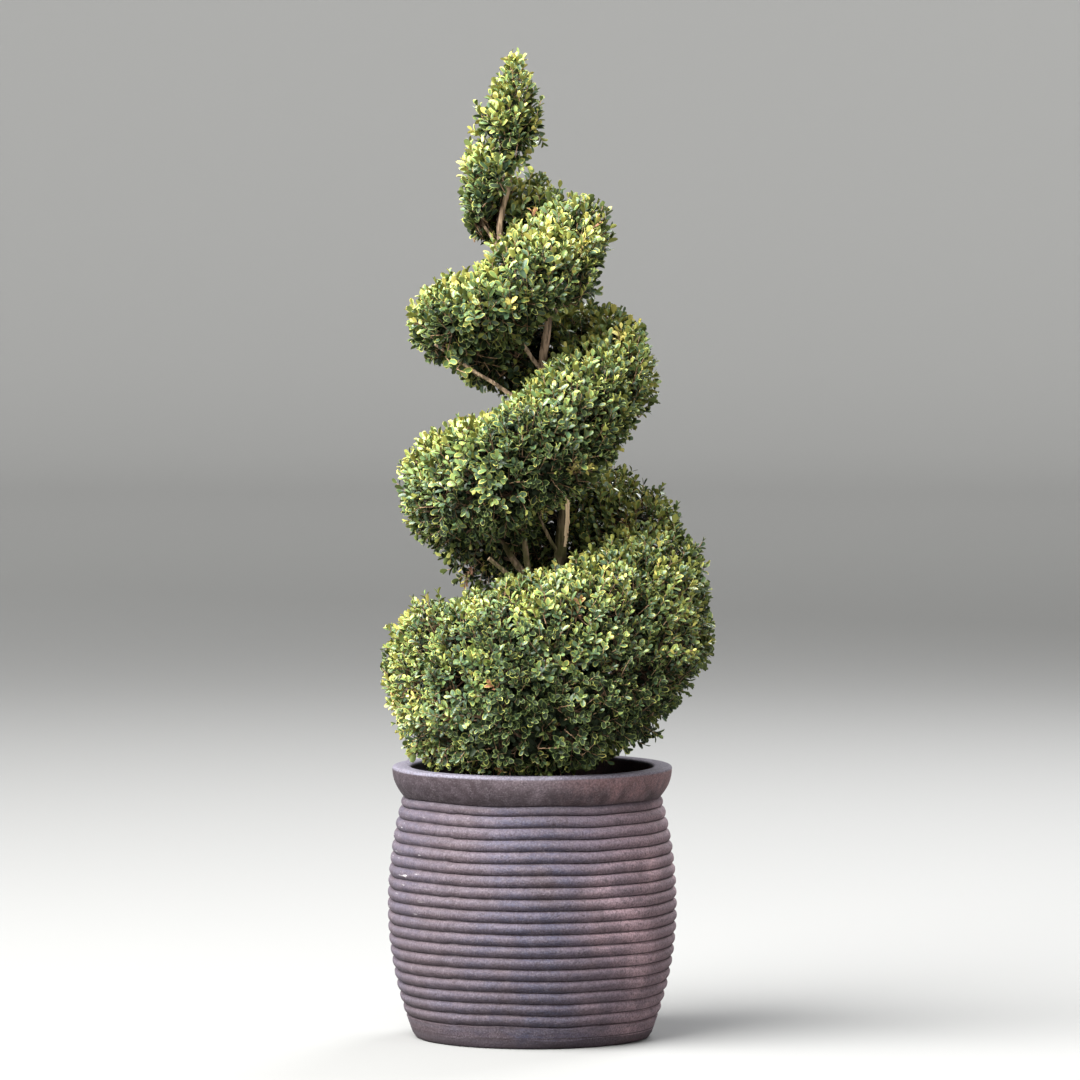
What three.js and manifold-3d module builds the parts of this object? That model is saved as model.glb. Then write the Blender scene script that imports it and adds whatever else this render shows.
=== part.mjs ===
// A clipped spiral boxwood, built together with its ribbed, barrel-shaped planter.
// Millimetres, +Z up, +X to the viewer's right, +Y away from the viewer.
// The origin is the middle of the planter's flat underside.
// The foliage is one helical band that climbs anticlockwise round a bent trunk, cut into quarter
// turns. Each quarter turn is one mass: a core with leafy twigs standing out of it.

import * as THREE from "three";
import { mergeVertices } from "three/addons/utils/BufferGeometryUtils.js";
import Module from "manifold-3d";

const wasm = await Module();
wasm.setup();

// Planter
const POT_HEIGHT = 420;
const RIM_OUTER_R = 216;
const RIM_INNER_R = 181.5;
const LIP_HEIGHT = 46;
const LIP_ROUND = 9;
const LIP_CORNER = 0.3; // how far the round's one middle point stands back, as a share of it
const LIP_BULGE = 5; // the lip grows by this much between these two shares of its height
const LIP_BULGE_FROM = 0.3;
const LIP_BULGE_TO = 0.6;
const NECK_R = 199.5;
const BELLY_R = 222;
const BELLY_HEIGHT = 222;
const FOOT_R = 181;
const FOOT_CHAMFER = 5;
const RIB_PITCH = 18.4;
const RIB_COUNT = 18;
const RIB_DEPTH = 4;
const RIB_CREST_FROM = 0.22; // where a rib's crest starts and ends, as shares of its pitch
const RIB_CREST_TO = 0.7;
const TOP_RIB = 14; // the half rib that runs up to the lip
const TOP_RIB_CREST = 0.35;
const TOP_RIB_DEPTH = 0.7;
const WALL = 20;
const FLOOR = 28;
const INNER_STEPS = 4;
const POT_SEGMENTS = 32;

// Soil
const SOIL_LEVEL = 388;
const SOIL_DOME = 5;
const SOIL_EDGE = 5; // how far the soil's top keeps from the planter's inner wall
const SOIL_FLAT = 0.5; // share of the radius that lies level on top of the dome
const GAP = 0.3;

// Trunk: its bends, each a height with how far the trunk's middle lies to the right and to the back
const TRUNK_BENDS = [
  { height: SOIL_LEVEL + SOIL_DOME + GAP, right: 16, back: 4 },
  { height: 560, right: 31, back: 8 },
  { height: 740, right: 43, back: 4 },
  { height: 833, right: 49, back: 0 },
  { height: 1025, right: 16, back: 0 },
  { height: 1135, right: 22, back: 6 },
  { height: 1229, right: -48, back: 0 },
  { height: 1336, right: -33, back: -2 },
  { height: 1478, right: -27, back: 0 },
];
const TRUNK_FOOT_R = 17;
const TRUNK_TIP_R = 2.2;
const TRUNK_TAPER = 0.62; // exponent: below 1 the trunk thins fastest near its foot
const ROOT_FLARE = 12;
const ROOT_FLARE_HEIGHT = 60;
const TRUNK_SIDES = 8;
const TRUNK_STEPS = 26;
const TRUNK_CROWDING = 1.15; // exponent: above 1 the trunk's rings stand closer near its foot
const TRUNK_TABLE_STEP = 4;
const HALVINGS = 30;

// Spiral band: its stations, a quarter turn apart from the lowest up, at the back, left, front and
// right in turn. Each has the band's underside, its top, and its reach from the axis.
const STATIONS = [
  { low: 424, high: 530, reach: 205 },
  { low: 426, high: 656, reach: 254 },
  { low: 412, high: 750, reach: 262 },
  { low: 500, high: 812, reach: 268 },
  { low: 632, high: 898, reach: 246 },
  { low: 742, high: 944, reach: 210 },
  { low: 834, high: 1040, reach: 206 },
  { low: 940, high: 1120, reach: 201 },
  { low: 968, high: 1144, reach: 192 },
  { low: 1028, high: 1178, reach: 181 },
  { low: 1112, high: 1238, reach: 166 },
  { low: 1160, high: 1300, reach: 138 },
  { low: 1196, high: 1332, reach: 112 },
  { low: 1236, high: 1382, reach: 92 },
  { low: 1318, high: 1372, reach: 74 },
];
const FIRST_STATION_TURN = -180;
const AXIS_AT_FOOT = 22; // the band's own axis leans to the left as it climbs
const AXIS_LEAN = 0.055;
const AXIS_FOOT_HEIGHT = 540;
const BAND_SQUARENESS = 0.85; // exponent of the section's outer end: 1 is an ellipse
const SHOULDER = 0.4; // share of the way out at which the section's outer end starts to round
const INNER_SHARE = 0.8; // how tall the section is at the trunk, as a share of its full height
const TOP_SHARE = 0.6; // share of the way round from shoulder to trunk that is top or underside
const QUARTER = 90;
const FIRST_TURN = -225;
const LAST_TURN = 1062;
const QUARTER_NAMES = ["back", "left", "front", "right"];
const RIM_CLEARANCE_ABOVE = 2;
const RIM_CLEARANCE_INSIDE = 3;

// Crown tip: a spindle round the trunk's top, above the last quarter turn
const TIP_HEIGHT = 1524;
const TIP_FOOT = 1363;
const TIP_SLANT = 21;
const TIP_LOW_TURN = 50;
const TIP_REACH = 51;
const TIP_WIDEST = 0.36;
const TIP_FOOT_ROUNDING = 0.4;
const TIP_SHIFT = -6;
const TIP_INSET = 14;
const TIP_CORE_TOP = TIP_HEIGHT - 24;
const TIP_CORE_LEAST_R = 3;
const TIP_STEPS = 6;
const TIP_FOOT_INSET = 10;
const TIP_SPRAY_SPACING = 30;
const TIP_UPWARD = 0.5;
const TOP_LEAN = 0.6; // the top spray stands nearly upright

// Twigs and leaves
const CORE_INSET = 16;
const CORE_SIDES = 10;
const CORE_STEPS = 4;
const CORE_TRUNK_CLEARANCE = 8;
const OVERHANG = 7; // how far past the band's outline a leaf's tip may stand
const END_MARGIN = 2.5; // how far leaves keep from the ends of their quarter turn
const SPRAY_SPACING = 67;
const SPRAY_TRIES = 500;
const SPRAY_WRAP = 0.68; // how far round the section from its outermost point, in half turns
const NORMAL_TURN = 1; // steps along and round the band that a spray's normal is found from
const NORMAL_ACROSS = 0.02;
const TWIG_LENGTH = 5.5;
const TWIG_R = 3;
const TWIG_NODE = 4; // how far below its tip a twig carries its three side leaves
const TWIG_TAPER = 0.85;
const TWIG_LEAN = 0.7; // how far chance bends a twig off the normal
const LIMB_MARGIN = 1.5; // how far twigs and leaves keep from the bark
const LEAF_LENGTH = 34;
const LEAF_WIDTH = 19;
const LEAF_THICKNESS = 3.4;
const LEAF_WIDEST = 0.55;
const LEAF_BACK = 0.6; // how far a leaf's three-cornered section stands back on its underside
const SIDE_LEAF = { least: 0.8, range: 0.3 };
const END_LEAF = { least: 0.55, range: 0.2 };
const SPREAD_SHARE = { least: 0.9, range: 0.25 };
const ROOT_DEPTH = 8;
const LEAF_SPREAD = 64;
const SKYWARD = 0.5;
const SEED = 2417;
const STEM_R = 4;
const STEM_TAPER = 0.8;
const STEM_SIDES = 5;
const STEM_DEPTH = 0.4; // where in the core a stem starts, as a share of the way to its skin

// Boughs: the limbs that show in the gaps. Each leaves the trunk, or another bough, at a height,
// towards a turn angle, and rises to its tip.
const BOUGHS = [
  { name: "bough_front_2", from: 604, turn: -66, out: 56, rise: 236, r: 5, tip: 4, bow: 0.5 },
  { name: "bough_stub", from: 660, turn: -70, out: 112, rise: 82, r: 4, tip: 3.2, bow: 0.05 },
  { name: "bough_twig_2", from: 744, turn: -52, out: 46, rise: 70, r: 3, tip: 2.2, bow: 0.1 },
  { name: "bough_back_2", from: 560, turn: 165, out: 84, rise: 96, r: 7, tip: 5, bow: 0.2 },
  { name: "bough_left_2", from: 668, turn: 262, out: 84, rise: 96, r: 6.5, tip: 4.5, bow: 0.2 },
  { name: "bough_right_2", from: 872, turn: 440, out: 74, rise: 80, r: 6, tip: 4.2, bow: 0.2 },
  { name: "bough_back_3", from: 930, turn: 545, out: 66, rise: 82, r: 5.5, tip: 4, bow: 0.2 },
  { name: "bough_left_3", from: 954, turn: 648, out: 186, rise: 118, r: 5.4, tip: 2.2, bow: 0.02 },
  { name: "bough_front_3", from: 1030, turn: 655, out: 57, rise: 118, r: 4.4, tip: 2.8, bow: 0.5 },
  { name: "bough_right_3", from: 1108, turn: 795, out: 38, rise: 56, r: 3.8, tip: 2.6, bow: 0.1 },
  { name: "bough_back_4", from: 1150, turn: 890, out: 50, rise: 62, r: 3.6, tip: 2.6, bow: 0.1 },
  { name: "bough_left_4", from: 1204, turn: 985, out: 40, rise: 48, r: 3.2, tip: 2.2, bow: 0.1 },
];
const BOUGH_SIDES = 5;
const BOUGH_STEPS = 4;
const BOUGH_START = 0.2; // how far out a bough starts, as a share of the trunk's radius
const BALL_SPACING = 10;
const BALLS_ON_BOUGH = 16;

const bark = new THREE.MeshStandardMaterial({ color: 0x8a6b4e, roughness: 0.95, metalness: 0 });
const leafGreen = new THREE.MeshStandardMaterial({ color: 0x4f6b34, roughness: 0.5, metalness: 0 });
const clay = new THREE.MeshStandardMaterial({ color: 0x857474, roughness: 0.8, metalness: 0 });
const earth = new THREE.MeshStandardMaterial({ color: 0x2c221b, roughness: 1, metalness: 0 });

const radians = THREE.MathUtils.degToRad;
const smooth = THREE.MathUtils.smoothstep;
const lerp = THREE.MathUtils.lerp;

// The same stream of numbers from 0 to 1 each run.
function seededRandom(seed) {
  let state = seed;
  return () => {
    state = (state + 0x6d2b79f5) | 0;
    let mixed = Math.imul(state ^ (state >>> 15), 1 | state);
    mixed = (mixed + Math.imul(mixed ^ (mixed >>> 7), 61 | mixed)) ^ mixed;
    return ((mixed ^ (mixed >>> 14)) >>> 0) / 2 ** 32;
  };
}

// The unit vector towards a turn angle: 0 is the front, 90 the right, 180 the back, 270 the left.
function outwards(turn) {
  return new THREE.Vector3(Math.sin(radians(turn)), -Math.cos(radians(turn)), 0);
}

const trunkCurve = new THREE.CatmullRomCurve3(
  TRUNK_BENDS.map((bend) => new THREE.Vector3(bend.right, bend.back, bend.height)),
  false,
  "centripetal",
);

// How far up the trunk curve a height lies, from 0 to 1.
function trunkShare(height) {
  let low = 0;
  let high = 1;
  for (let i = 0; i < HALVINGS; i += 1) {
    const middle = (low + high) / 2;
    if (trunkCurve.getPoint(middle).z < height) low = middle;
    else high = middle;
  }
  return low;
}

const trunkTable = [];
for (let z = TRUNK_BENDS[0].height; z <= TIP_HEIGHT; z += TRUNK_TABLE_STEP) {
  trunkTable.push(trunkCurve.getPoint(trunkShare(z)));
}

// The trunk's middle at a height, level with it.
function trunkMiddle(height) {
  const place = (height - TRUNK_BENDS[0].height) / TRUNK_TABLE_STEP;
  const index = THREE.MathUtils.clamp(Math.floor(place), 0, trunkTable.length - 2);
  const share = THREE.MathUtils.clamp(place - index, 0, 1);
  const found = trunkTable[index].clone().lerp(trunkTable[index + 1], share);
  return found.setZ(height);
}

function trunkRadius(height) {
  const low = TRUNK_BENDS[0].height;
  const high = TRUNK_BENDS.at(-1).height;
  const share = THREE.MathUtils.clamp((height - low) / (high - low), 0, 1);
  const flare = ROOT_FLARE * (1 - smooth(height, low, low + ROOT_FLARE_HEIGHT));
  return lerp(TRUNK_FOOT_R, TRUNK_TIP_R, share ** TRUNK_TAPER) + flare;
}

function axisOfBand(height) {
  return AXIS_AT_FOOT - AXIS_LEAN * (height - AXIS_FOOT_HEIGHT);
}

// A station's size at any turn angle, on a smooth curve through the stations' own values.
function stationValue(key, turn) {
  const last = STATIONS.length - 1;
  const place = THREE.MathUtils.clamp((turn - FIRST_STATION_TURN) / QUARTER, 0, last);
  const index = Math.min(Math.floor(place), last - 1);
  const at = (i) => STATIONS[THREE.MathUtils.clamp(i, 0, last)][key];
  const before = (at(index + 1) - at(index - 1)) / 2;
  const after = (at(index + 2) - at(index)) / 2;
  const t = place - index;
  return (
    (2 * t ** 3 - 3 * t ** 2 + 1) * at(index) +
    (t ** 3 - 2 * t ** 2 + t) * before +
    (3 * t ** 2 - 2 * t ** 3) * at(index + 1) +
    (t ** 3 - t ** 2) * after
  );
}

// The band's section at a turn angle: its middle height, and half of its own height.
function sectionAt(turn) {
  const low = stationValue("low", turn);
  const high = stationValue("high", turn);
  return { middle: (low + high) / 2, half: (high - low) / 2 };
}

// How far the band reaches from the trunk's middle, at a turn angle and a height.
function reachAt(turn, height) {
  const trunk = trunkMiddle(height);
  const way = outwards(turn);
  const offset = (axisOfBand(height) - trunk.x) * way.x - trunk.y * way.y;
  return stationValue("reach", turn) + offset;
}

// The section's outline, as a share of the way out and a share of the half height. `across` is 0
// at the outermost point, a quarter turn at the shoulder, and a half turn at the trunk.
function sectionOutline(across) {
  const c = Math.cos(across);
  const u = Math.sin(across);
  if (c >= 0) {
    const out = SHOULDER + (1 - SHOULDER) * c ** BAND_SQUARENESS;
    return { out, rise: Math.sign(u) * Math.abs(u) ** BAND_SQUARENESS };
  }
  const inward = Math.abs(Math.atan2(u, c)) / (Math.PI / 2) - 1;
  const past = Math.min(inward / TOP_SHARE, 1);
  const end = (INNER_SHARE * (1 - inward)) / (1 - TOP_SHARE);
  const rise = past < 1 ? lerp(1, INNER_SHARE, past) : end;
  return { out: SHOULDER * (1 - past), rise: Math.sign(u) * rise };
}

// A point of the band at a turn angle, on the section's outline taken in by `inset`.
function bandPoint(turn, across, inset, fill = 1) {
  const { middle, half } = sectionAt(turn);
  const { out, rise } = sectionOutline(across);
  const height = middle + fill * (half - inset) * rise;
  const inner = trunkRadius(height) + CORE_TRUNK_CLEARANCE;
  const outer = Math.max(reachAt(turn, height) - inset, inner + 1);
  const share = fill * out + (1 - fill) * SHOULDER;
  return trunkMiddle(height).addScaledVector(outwards(turn), lerp(inner, outer, share));
}

// Whether a point lies clear of the planter's rim.
function clearOfPot(point) {
  const inside = Math.hypot(point.x, point.y) < RIM_INNER_R - RIM_CLEARANCE_INSIDE;
  return inside || point.z > POT_HEIGHT + RIM_CLEARANCE_ABOVE;
}

// Whether a point lies in the band's space between two turn angles, clear of both ends.
function inBand(point, from, to) {
  const trunk = trunkMiddle(point.z);
  const dx = point.x - trunk.x;
  const dy = point.y - trunk.y;
  const distance = Math.hypot(dx, dy);
  let turn = THREE.MathUtils.radToDeg(Math.atan2(dx, -dy));
  turn += 360 * Math.round(((from + to) / 2 - turn) / 360);
  const clear = (edge) => distance * Math.sin(radians(Math.min(Math.abs(turn - edge), 90)));
  if (turn < from || turn > to || Math.min(clear(from), clear(to)) < END_MARGIN) return false;
  if (point.z > tipFoot(turn) - END_MARGIN) return false;
  const { middle, half } = sectionAt(turn);
  const inner = trunkRadius(point.z) + CORE_TRUNK_CLEARANCE / 2;
  const share = (distance - inner) / (reachAt(turn, point.z) + OVERHANG - inner);
  const rise = Math.abs(point.z - middle) / (half + OVERHANG);
  if (share < 0 || !clearOfPot(point)) return false;
  if (share < SHOULDER) return rise < lerp(INNER_SHARE, 1, share / SHOULDER);
  const power = 2 / BAND_SQUARENESS;
  return ((share - SHOULDER) / (1 - SHOULDER)) ** power + rise ** power < 1;
}

function tipMiddle(height) {
  const share = (height - TIP_FOOT) / (TIP_HEIGHT - TIP_FOOT);
  const middle = trunkMiddle(Math.min(height, TRUNK_BENDS.at(-1).height));
  return middle.setZ(height).add(new THREE.Vector3(TIP_SHIFT * (1 - share), 0, 0));
}

function tipRadius(height, inset) {
  const share = THREE.MathUtils.clamp((height - TIP_FOOT) / (TIP_HEIGHT - TIP_FOOT), 0, 1);
  const round = share < TIP_WIDEST
    ? Math.sqrt(1 - ((TIP_WIDEST - share) / TIP_WIDEST) ** 2 * TIP_FOOT_ROUNDING)
    : Math.sqrt(1 - (share - TIP_WIDEST) / (1 - TIP_WIDEST));
  return Math.max(TIP_REACH * round - inset, 0);
}

function tipCoreRadius(height) {
  return Math.max(tipRadius(height, TIP_INSET), TIP_CORE_LEAST_R);
}

function tipFoot(turn) {
  return TIP_FOOT - TIP_SLANT * Math.cos(radians(turn - TIP_LOW_TURN));
}

function inTip(point) {
  const middle = tipMiddle(point.z);
  const dx = point.x - middle.x;
  const dy = point.y - middle.y;
  const turn = THREE.MathUtils.radToDeg(Math.atan2(dx, -dy));
  const inside = Math.hypot(dx, dy) < tipRadius(point.z, 0) + OVERHANG;
  return point.z < TIP_HEIGHT + OVERHANG && point.z > tipFoot(turn) + 1 && inside;
}

// A closed three.js geometry as a solid that booleans can work on.
function solidOf(geometry) {
  const bare = geometry.clone();
  bare.deleteAttribute("normal");
  bare.deleteAttribute("uv");
  const merged = mergeVertices(bare, 1e-3);
  return new wasm.Manifold(
    new wasm.Mesh({
      numProp: 3,
      vertProperties: new Float32Array(merged.attributes.position.array),
      triVerts: new Uint32Array(merged.index.array),
    }),
  );
}

function geometryOf(solid) {
  const mesh = solid.getMesh();
  const vertices = new Float32Array(mesh.numVert * 3);
  for (let i = 0; i < mesh.numVert; i += 1) {
    vertices.set(mesh.vertProperties.subarray(i * mesh.numProp, i * mesh.numProp + 3), i * 3);
  }
  return new THREE.BufferGeometry()
    .setAttribute("position", new THREE.BufferAttribute(vertices, 3))
    .setIndex(new THREE.BufferAttribute(mesh.triVerts, 1));
}

// A boolean can leave loose scraps: only the largest body is kept.
function largestOf(solid) {
  return solid.decompose().reduce((best, next) => (next.volume() > best.volume() ? next : best));
}

// A cylinder whose every vertex is moved: `place` gets how far along it lies, from 0 to 1, its
// angle round the axis, and 1 on the skin or 0 at the middle of an end cap.
function shapedCylinder(sides, steps, place) {
  const geometry = new THREE.CylinderGeometry(1, 1, 1, sides, steps);
  const position = geometry.attributes.position;
  for (let i = 0; i < position.count; i += 1) {
    const skin = Math.hypot(position.getX(i), position.getZ(i)) > 0.5 ? 1 : 0;
    const around = Math.round((Math.atan2(position.getX(i), position.getZ(i)) * sides) / Math.PI);
    const moved = place(position.getY(i) + 0.5, (around * Math.PI) / sides, skin);
    position.setXYZ(i, moved.x, moved.y, moved.z);
  }
  return geometry;
}

// A limb that tapers along a curve. `grow` adds to its radius all over, and to its ends.
function limb(curve, radiusAt, sides, steps, grow = 0) {
  return shapedCylinder(sides, steps, (along, around, skin) => {
    const middle = curve.getPoint(along);
    const way = curve.getTangent(along);
    const side = new THREE.Vector3(0, 1, 0).cross(way).normalize();
    const front = way.clone().cross(side);
    const radius = (radiusAt(along) + grow) * skin;
    const end = grow * Math.sign(along - 0.5) * (along === 0 || along === 1 ? 1 : 0);
    return middle
      .addScaledVector(way, end)
      .addScaledVector(side, radius * Math.cos(around))
      .addScaledVector(front, radius * Math.sin(around));
  });
}

function trunkGeometry(grow = 0) {
  const low = TRUNK_BENDS[0].height;
  return shapedCylinder(TRUNK_SIDES, TRUNK_STEPS, (along, around, skin) => {
    const height = lerp(low, TRUNK_BENDS.at(-1).height, along ** TRUNK_CROWDING);
    const radius = (trunkRadius(height) + grow) * skin;
    const end = along === 1 ? grow : along === 0 ? -grow : 0;
    return trunkMiddle(height)
      .add(new THREE.Vector3(radius * Math.cos(around), radius * Math.sin(around), end));
  });
}

// A bough's middle line, from just clear of the trunk's bark to its tip.
function boughCurve(bough) {
  const way = outwards(bough.turn);
  const start = trunkMiddle(bough.from).addScaledVector(way, trunkRadius(bough.from) * BOUGH_START);
  const end = trunkMiddle(bough.from)
    .addScaledVector(way, bough.out)
    .setZ(bough.from + bough.rise);
  const middle = start.clone().lerp(end, 0.5);
  middle.addScaledVector(way, bough.bow * bough.out);
  return new THREE.QuadraticBezierCurve3(start, middle, end);
}

function boughSolid(bough, grow = 0) {
  const radiusAt = (along) => lerp(bough.r, bough.tip, along);
  return solidOf(limb(boughCurve(bough), radiusAt, BOUGH_SIDES, BOUGH_STEPS, grow));
}

// The places that leaves keep clear of: balls along the trunk and the boughs.
const limbBalls = [];
for (let z = TRUNK_BENDS[0].height; z < TRUNK_BENDS.at(-1).height; z += BALL_SPACING) {
  limbBalls.push({ middle: trunkMiddle(z), r: trunkRadius(z) });
}
for (const bough of BOUGHS) {
  const curve = boughCurve(bough);
  for (let i = 0; i <= BALLS_ON_BOUGH; i += 1) {
    const along = i / BALLS_ON_BOUGH;
    limbBalls.push({ middle: curve.getPoint(along), r: lerp(bough.r, bough.tip, along) });
  }
}

function touchesLimb(point) {
  return limbBalls.some((ball) => ball.middle.distanceTo(point) < ball.r + LIMB_MARGIN);
}

// Turns a straight piece's axis, +Z, towards a way and moves its foot to a point.
function placed(geometry, point, way) {
  const turnTo = new THREE.Quaternion().setFromUnitVectors(new THREE.Vector3(0, 0, 1), way);
  return geometry.clone().applyQuaternion(turnTo).translate(point.x, point.y, point.z);
}

// A growing list of points and triangles.
class Facets {
  constructor() {
    this.points = [];
    this.faces = [];
  }

  add(...points) {
    this.points.push(...points);
    return points.map((_, i) => this.points.length - points.length + i);
  }

  // Walls between two rings of as many points, both anticlockwise as seen from the far one.
  join(near, far) {
    near.forEach((corner, i) => {
      const next = (i + 1) % near.length;
      this.faces.push([corner, near[next], far[i]], [near[next], far[next], far[i]]);
    });
  }

  cap(ring, tip) {
    ring.forEach((corner, i) => this.faces.push([corner, ring[(i + 1) % ring.length], tip]));
  }

  geometry() {
    return new THREE.BufferGeometry()
      .setAttribute("position", new THREE.Float32BufferAttribute(
        this.points.flatMap((point) => point.toArray()),
        3,
      ))
      .setIndex(this.faces.flat());
  }
}

// A leaf drawn out of a ring of a twig's corners: it widens to its middle and ends in a point.
// It is left out, and its ring closed flat, where it would leave the mass's space or touch a limb.
function leafOn(facets, ring, way, length, fits) {
  const corners = ring.map((i) => facets.points[i]);
  const foot = corners.reduce((sum, c) => sum.add(c), new THREE.Vector3());
  foot.divideScalar(corners.length);
  const wide = corners[1].clone().sub(corners[0]).normalize();
  const thick = way.clone().cross(wide).normalize();
  const middle = foot.clone().addScaledVector(way, length * LEAF_WIDEST);
  const side = (w, t) => middle.clone()
    .addScaledVector(wide, (w * LEAF_WIDTH) / 2)
    .addScaledVector(thick, (t * LEAF_THICKNESS) / 2);
  const belt = corners.length === 4
    ? [side(0, -1), side(1, 0), side(0, 1), side(-1, 0)]
    : [side(-1, -LEAF_BACK), side(1, -LEAF_BACK), side(0, 1)];
  const tip = foot.clone().addScaledVector(way, length);
  if (![...belt, tip].every((point) => fits(point) && !touchesLimb(point))) {
    if (ring.length === 4) facets.faces.push([ring[2], ring[3], ring[0]]);
    facets.faces.push([ring[0], ring[1], ring[2]]);
    return 0;
  }
  const around = facets.add(...belt);
  facets.join(ring, around);
  facets.cap(around, facets.add(tip)[0]);
  return 1;
}

// A spray on a core: a three-sided twig with a leaf on each side near its tip and one at its end.
function spray(root, normal, fits, random) {
  const lean = new THREE.Vector3(random() - 0.5, random() - 0.5, random() * SKYWARD);
  const way = normal.clone().addScaledVector(lean, TWIG_LEAN).normalize();
  const across = new THREE.Vector3(random() - 0.5, random() - 0.5, random() - 0.5)
    .cross(way)
    .normalize();
  const between = ({ least, range }) => least + range * random();
  const facets = new Facets();
  const ring = (along, r) => {
    const corners = [0, 1, 2].map((i) =>
      root.clone()
        .addScaledVector(way, along)
        .addScaledVector(across.clone().applyAxisAngle(way, (i * 2 * Math.PI) / 3), r));
    return facets.add(...corners);
  };
  const foot = ring(-ROOT_DEPTH, TWIG_R);
  const node = ring(TWIG_LENGTH - TWIG_NODE, TWIG_R);
  const tip = ring(TWIG_LENGTH, TWIG_R * TWIG_TAPER);
  if (![...foot, ...tip].every((i) => fits(facets.points[i]))) return [];
  if (tip.some((i) => touchesLimb(facets.points[i]))) return [];
  facets.faces.push([foot[2], foot[1], foot[0]]);
  facets.join(foot, node);
  let leaves = 0;
  for (let i = 0; i < 3; i += 1) {
    const next = (i + 1) % 3;
    const out = across.clone().applyAxisAngle(way, ((i + 0.5) * 2 * Math.PI) / 3);
    const spread = radians(LEAF_SPREAD * between(SPREAD_SHARE));
    const leafWay = way.clone()
      .multiplyScalar(Math.cos(spread))
      .addScaledVector(out, Math.sin(spread));
    const length = LEAF_LENGTH * between(SIDE_LEAF);
    leaves += leafOn(facets, [node[i], node[next], tip[next], tip[i]], leafWay, length, fits);
  }
  leaves += leafOn(facets, tip, way, LEAF_LENGTH * between(END_LEAF), fits);
  return leaves ? [solidOf(facets.geometry())] : [];
}

const trunkClearance = solidOf(trunkGeometry(GAP));
const limbClearances = BOUGHS.map((bough) => boughSolid(bough, GAP).subtract(trunkClearance));

// A stem from inside a core to the limb that carries it, which is cut clear of that limb later.
function stem(from, to) {
  const way = to.clone().sub(from);
  const length = way.length();
  const peg = new THREE.CylinderGeometry(STEM_R * STEM_TAPER, STEM_R, length, STEM_SIDES)
    .rotateX(Math.PI / 2)
    .translate(0, 0, length / 2);
  return solidOf(placed(peg, from, way.normalize()));
}

// Fuses a core, its stem and its sprays, and cuts them clear of the limbs and of its neighbours.
function massGeometry(core, pieces, neighbours) {
  const twigs = neighbours.reduce((left, next) => left.subtract(next), wasm.Manifold.union(pieces));
  let mass = core.add(twigs).subtract(trunkClearance);
  for (const clearance of limbClearances) mass = mass.subtract(clearance);
  return geometryOf(largestOf(mass));
}

// A quarter turn's core, its ends kept back by `gap` and its skin by `inset`.
function bandCore(from, to, gap, inset) {
  return solidOf(
    shapedCylinder(CORE_SIDES, CORE_STEPS, (along, around, skin) => {
      const turn = lerp(from, to, along);
      const edge = along === 0 ? 1 : along === 1 ? -1 : 0;
      const point = bandPoint(turn, -around, inset, skin);
      return point.addScaledVector(outwards(turn + 90), edge * gap);
    }),
  );
}

// One quarter turn of the band, from one turn angle to another.
function quarterTurn(name, from, to, random) {
  const core = bandCore(from, to, GAP, CORE_INSET);
  const pieces = [];
  const roots = [];
  for (let i = 0; i < SPRAY_TRIES; i += 1) {
    const turn = lerp(from, to, random());
    const across = Math.PI * SPRAY_WRAP * (2 * random() - 1);
    const root = bandPoint(turn, across, CORE_INSET);
    if (roots.some((other) => other.distanceTo(root) < SPRAY_SPACING)) continue;
    const along = bandPoint(turn + NORMAL_TURN, across, CORE_INSET).sub(root);
    const round = bandPoint(turn, across + NORMAL_ACROSS, CORE_INSET).sub(root);
    const normal = along.cross(round).normalize();
    const made = spray(root, normal, (point) => inBand(point, from, to), random);
    if (!made.length) continue;
    roots.push(root);
    pieces.push(...made);
  }
  const turn = (from + to) / 2;
  const stemFoot = bandPoint(turn, Math.PI, 0, STEM_DEPTH);
  pieces.push(stem(stemFoot, trunkMiddle(sectionAt(turn).middle)));
  const neighbours = [[from - QUARTER, from], [to, to + QUARTER]]
    .map(([low, high]) => bandCore(low, high, 0, CORE_INSET - GAP));
  return mesh(name, massGeometry(core, pieces, neighbours), leafGreen);
}

function crownTip(name, random) {
  const core = solidOf(
    shapedCylinder(CORE_SIDES, TIP_STEPS, (along, around, skin) => {
      const turn = THREE.MathUtils.radToDeg(around) + 90;
      const low = skin ? tipFoot(turn) : TIP_FOOT;
      const height = lerp(low + TIP_FOOT_INSET, TIP_CORE_TOP, along);
      const r = tipCoreRadius(height) * skin;
      return tipMiddle(height).addScaledVector(outwards(turn), r);
    }),
  );
  const top = tipMiddle(TIP_CORE_TOP);
  const pieces = spray(top, new THREE.Vector3(0, 0, 1), inTip, () => TOP_LEAN);
  const roots = [top];
  for (let i = 0; i < SPRAY_TRIES; i += 1) {
    const turn = 360 * random();
    const height = lerp(tipFoot(turn) + TIP_FOOT_INSET, TIP_CORE_TOP, random());
    const way = outwards(turn);
    const root = tipMiddle(height).addScaledVector(way, tipCoreRadius(height));
    if (roots.some((other) => other.distanceTo(root) < TIP_SPRAY_SPACING)) continue;
    const made = spray(root, way.setZ(TIP_UPWARD).normalize(), inTip, random);
    if (!made.length) continue;
    roots.push(root);
    pieces.push(...made);
  }
  return mesh(name, massGeometry(core, pieces, []), leafGreen);
}

function mesh(name, geometry, material) {
  const made = new THREE.Mesh(geometry, material);
  made.name = name;
  return made;
}

// The radius of the planter's wall at a height, at the crests of its ribs.
function barrelRadius(height) {
  const above = height > BELLY_HEIGHT;
  const end = above ? POT_HEIGHT - LIP_HEIGHT : 0;
  const endRadius = above ? NECK_R + RIB_DEPTH : FOOT_R;
  const share = (height - BELLY_HEIGHT) / (end - BELLY_HEIGHT);
  return lerp(BELLY_R, endRadius, share * share);
}

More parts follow.
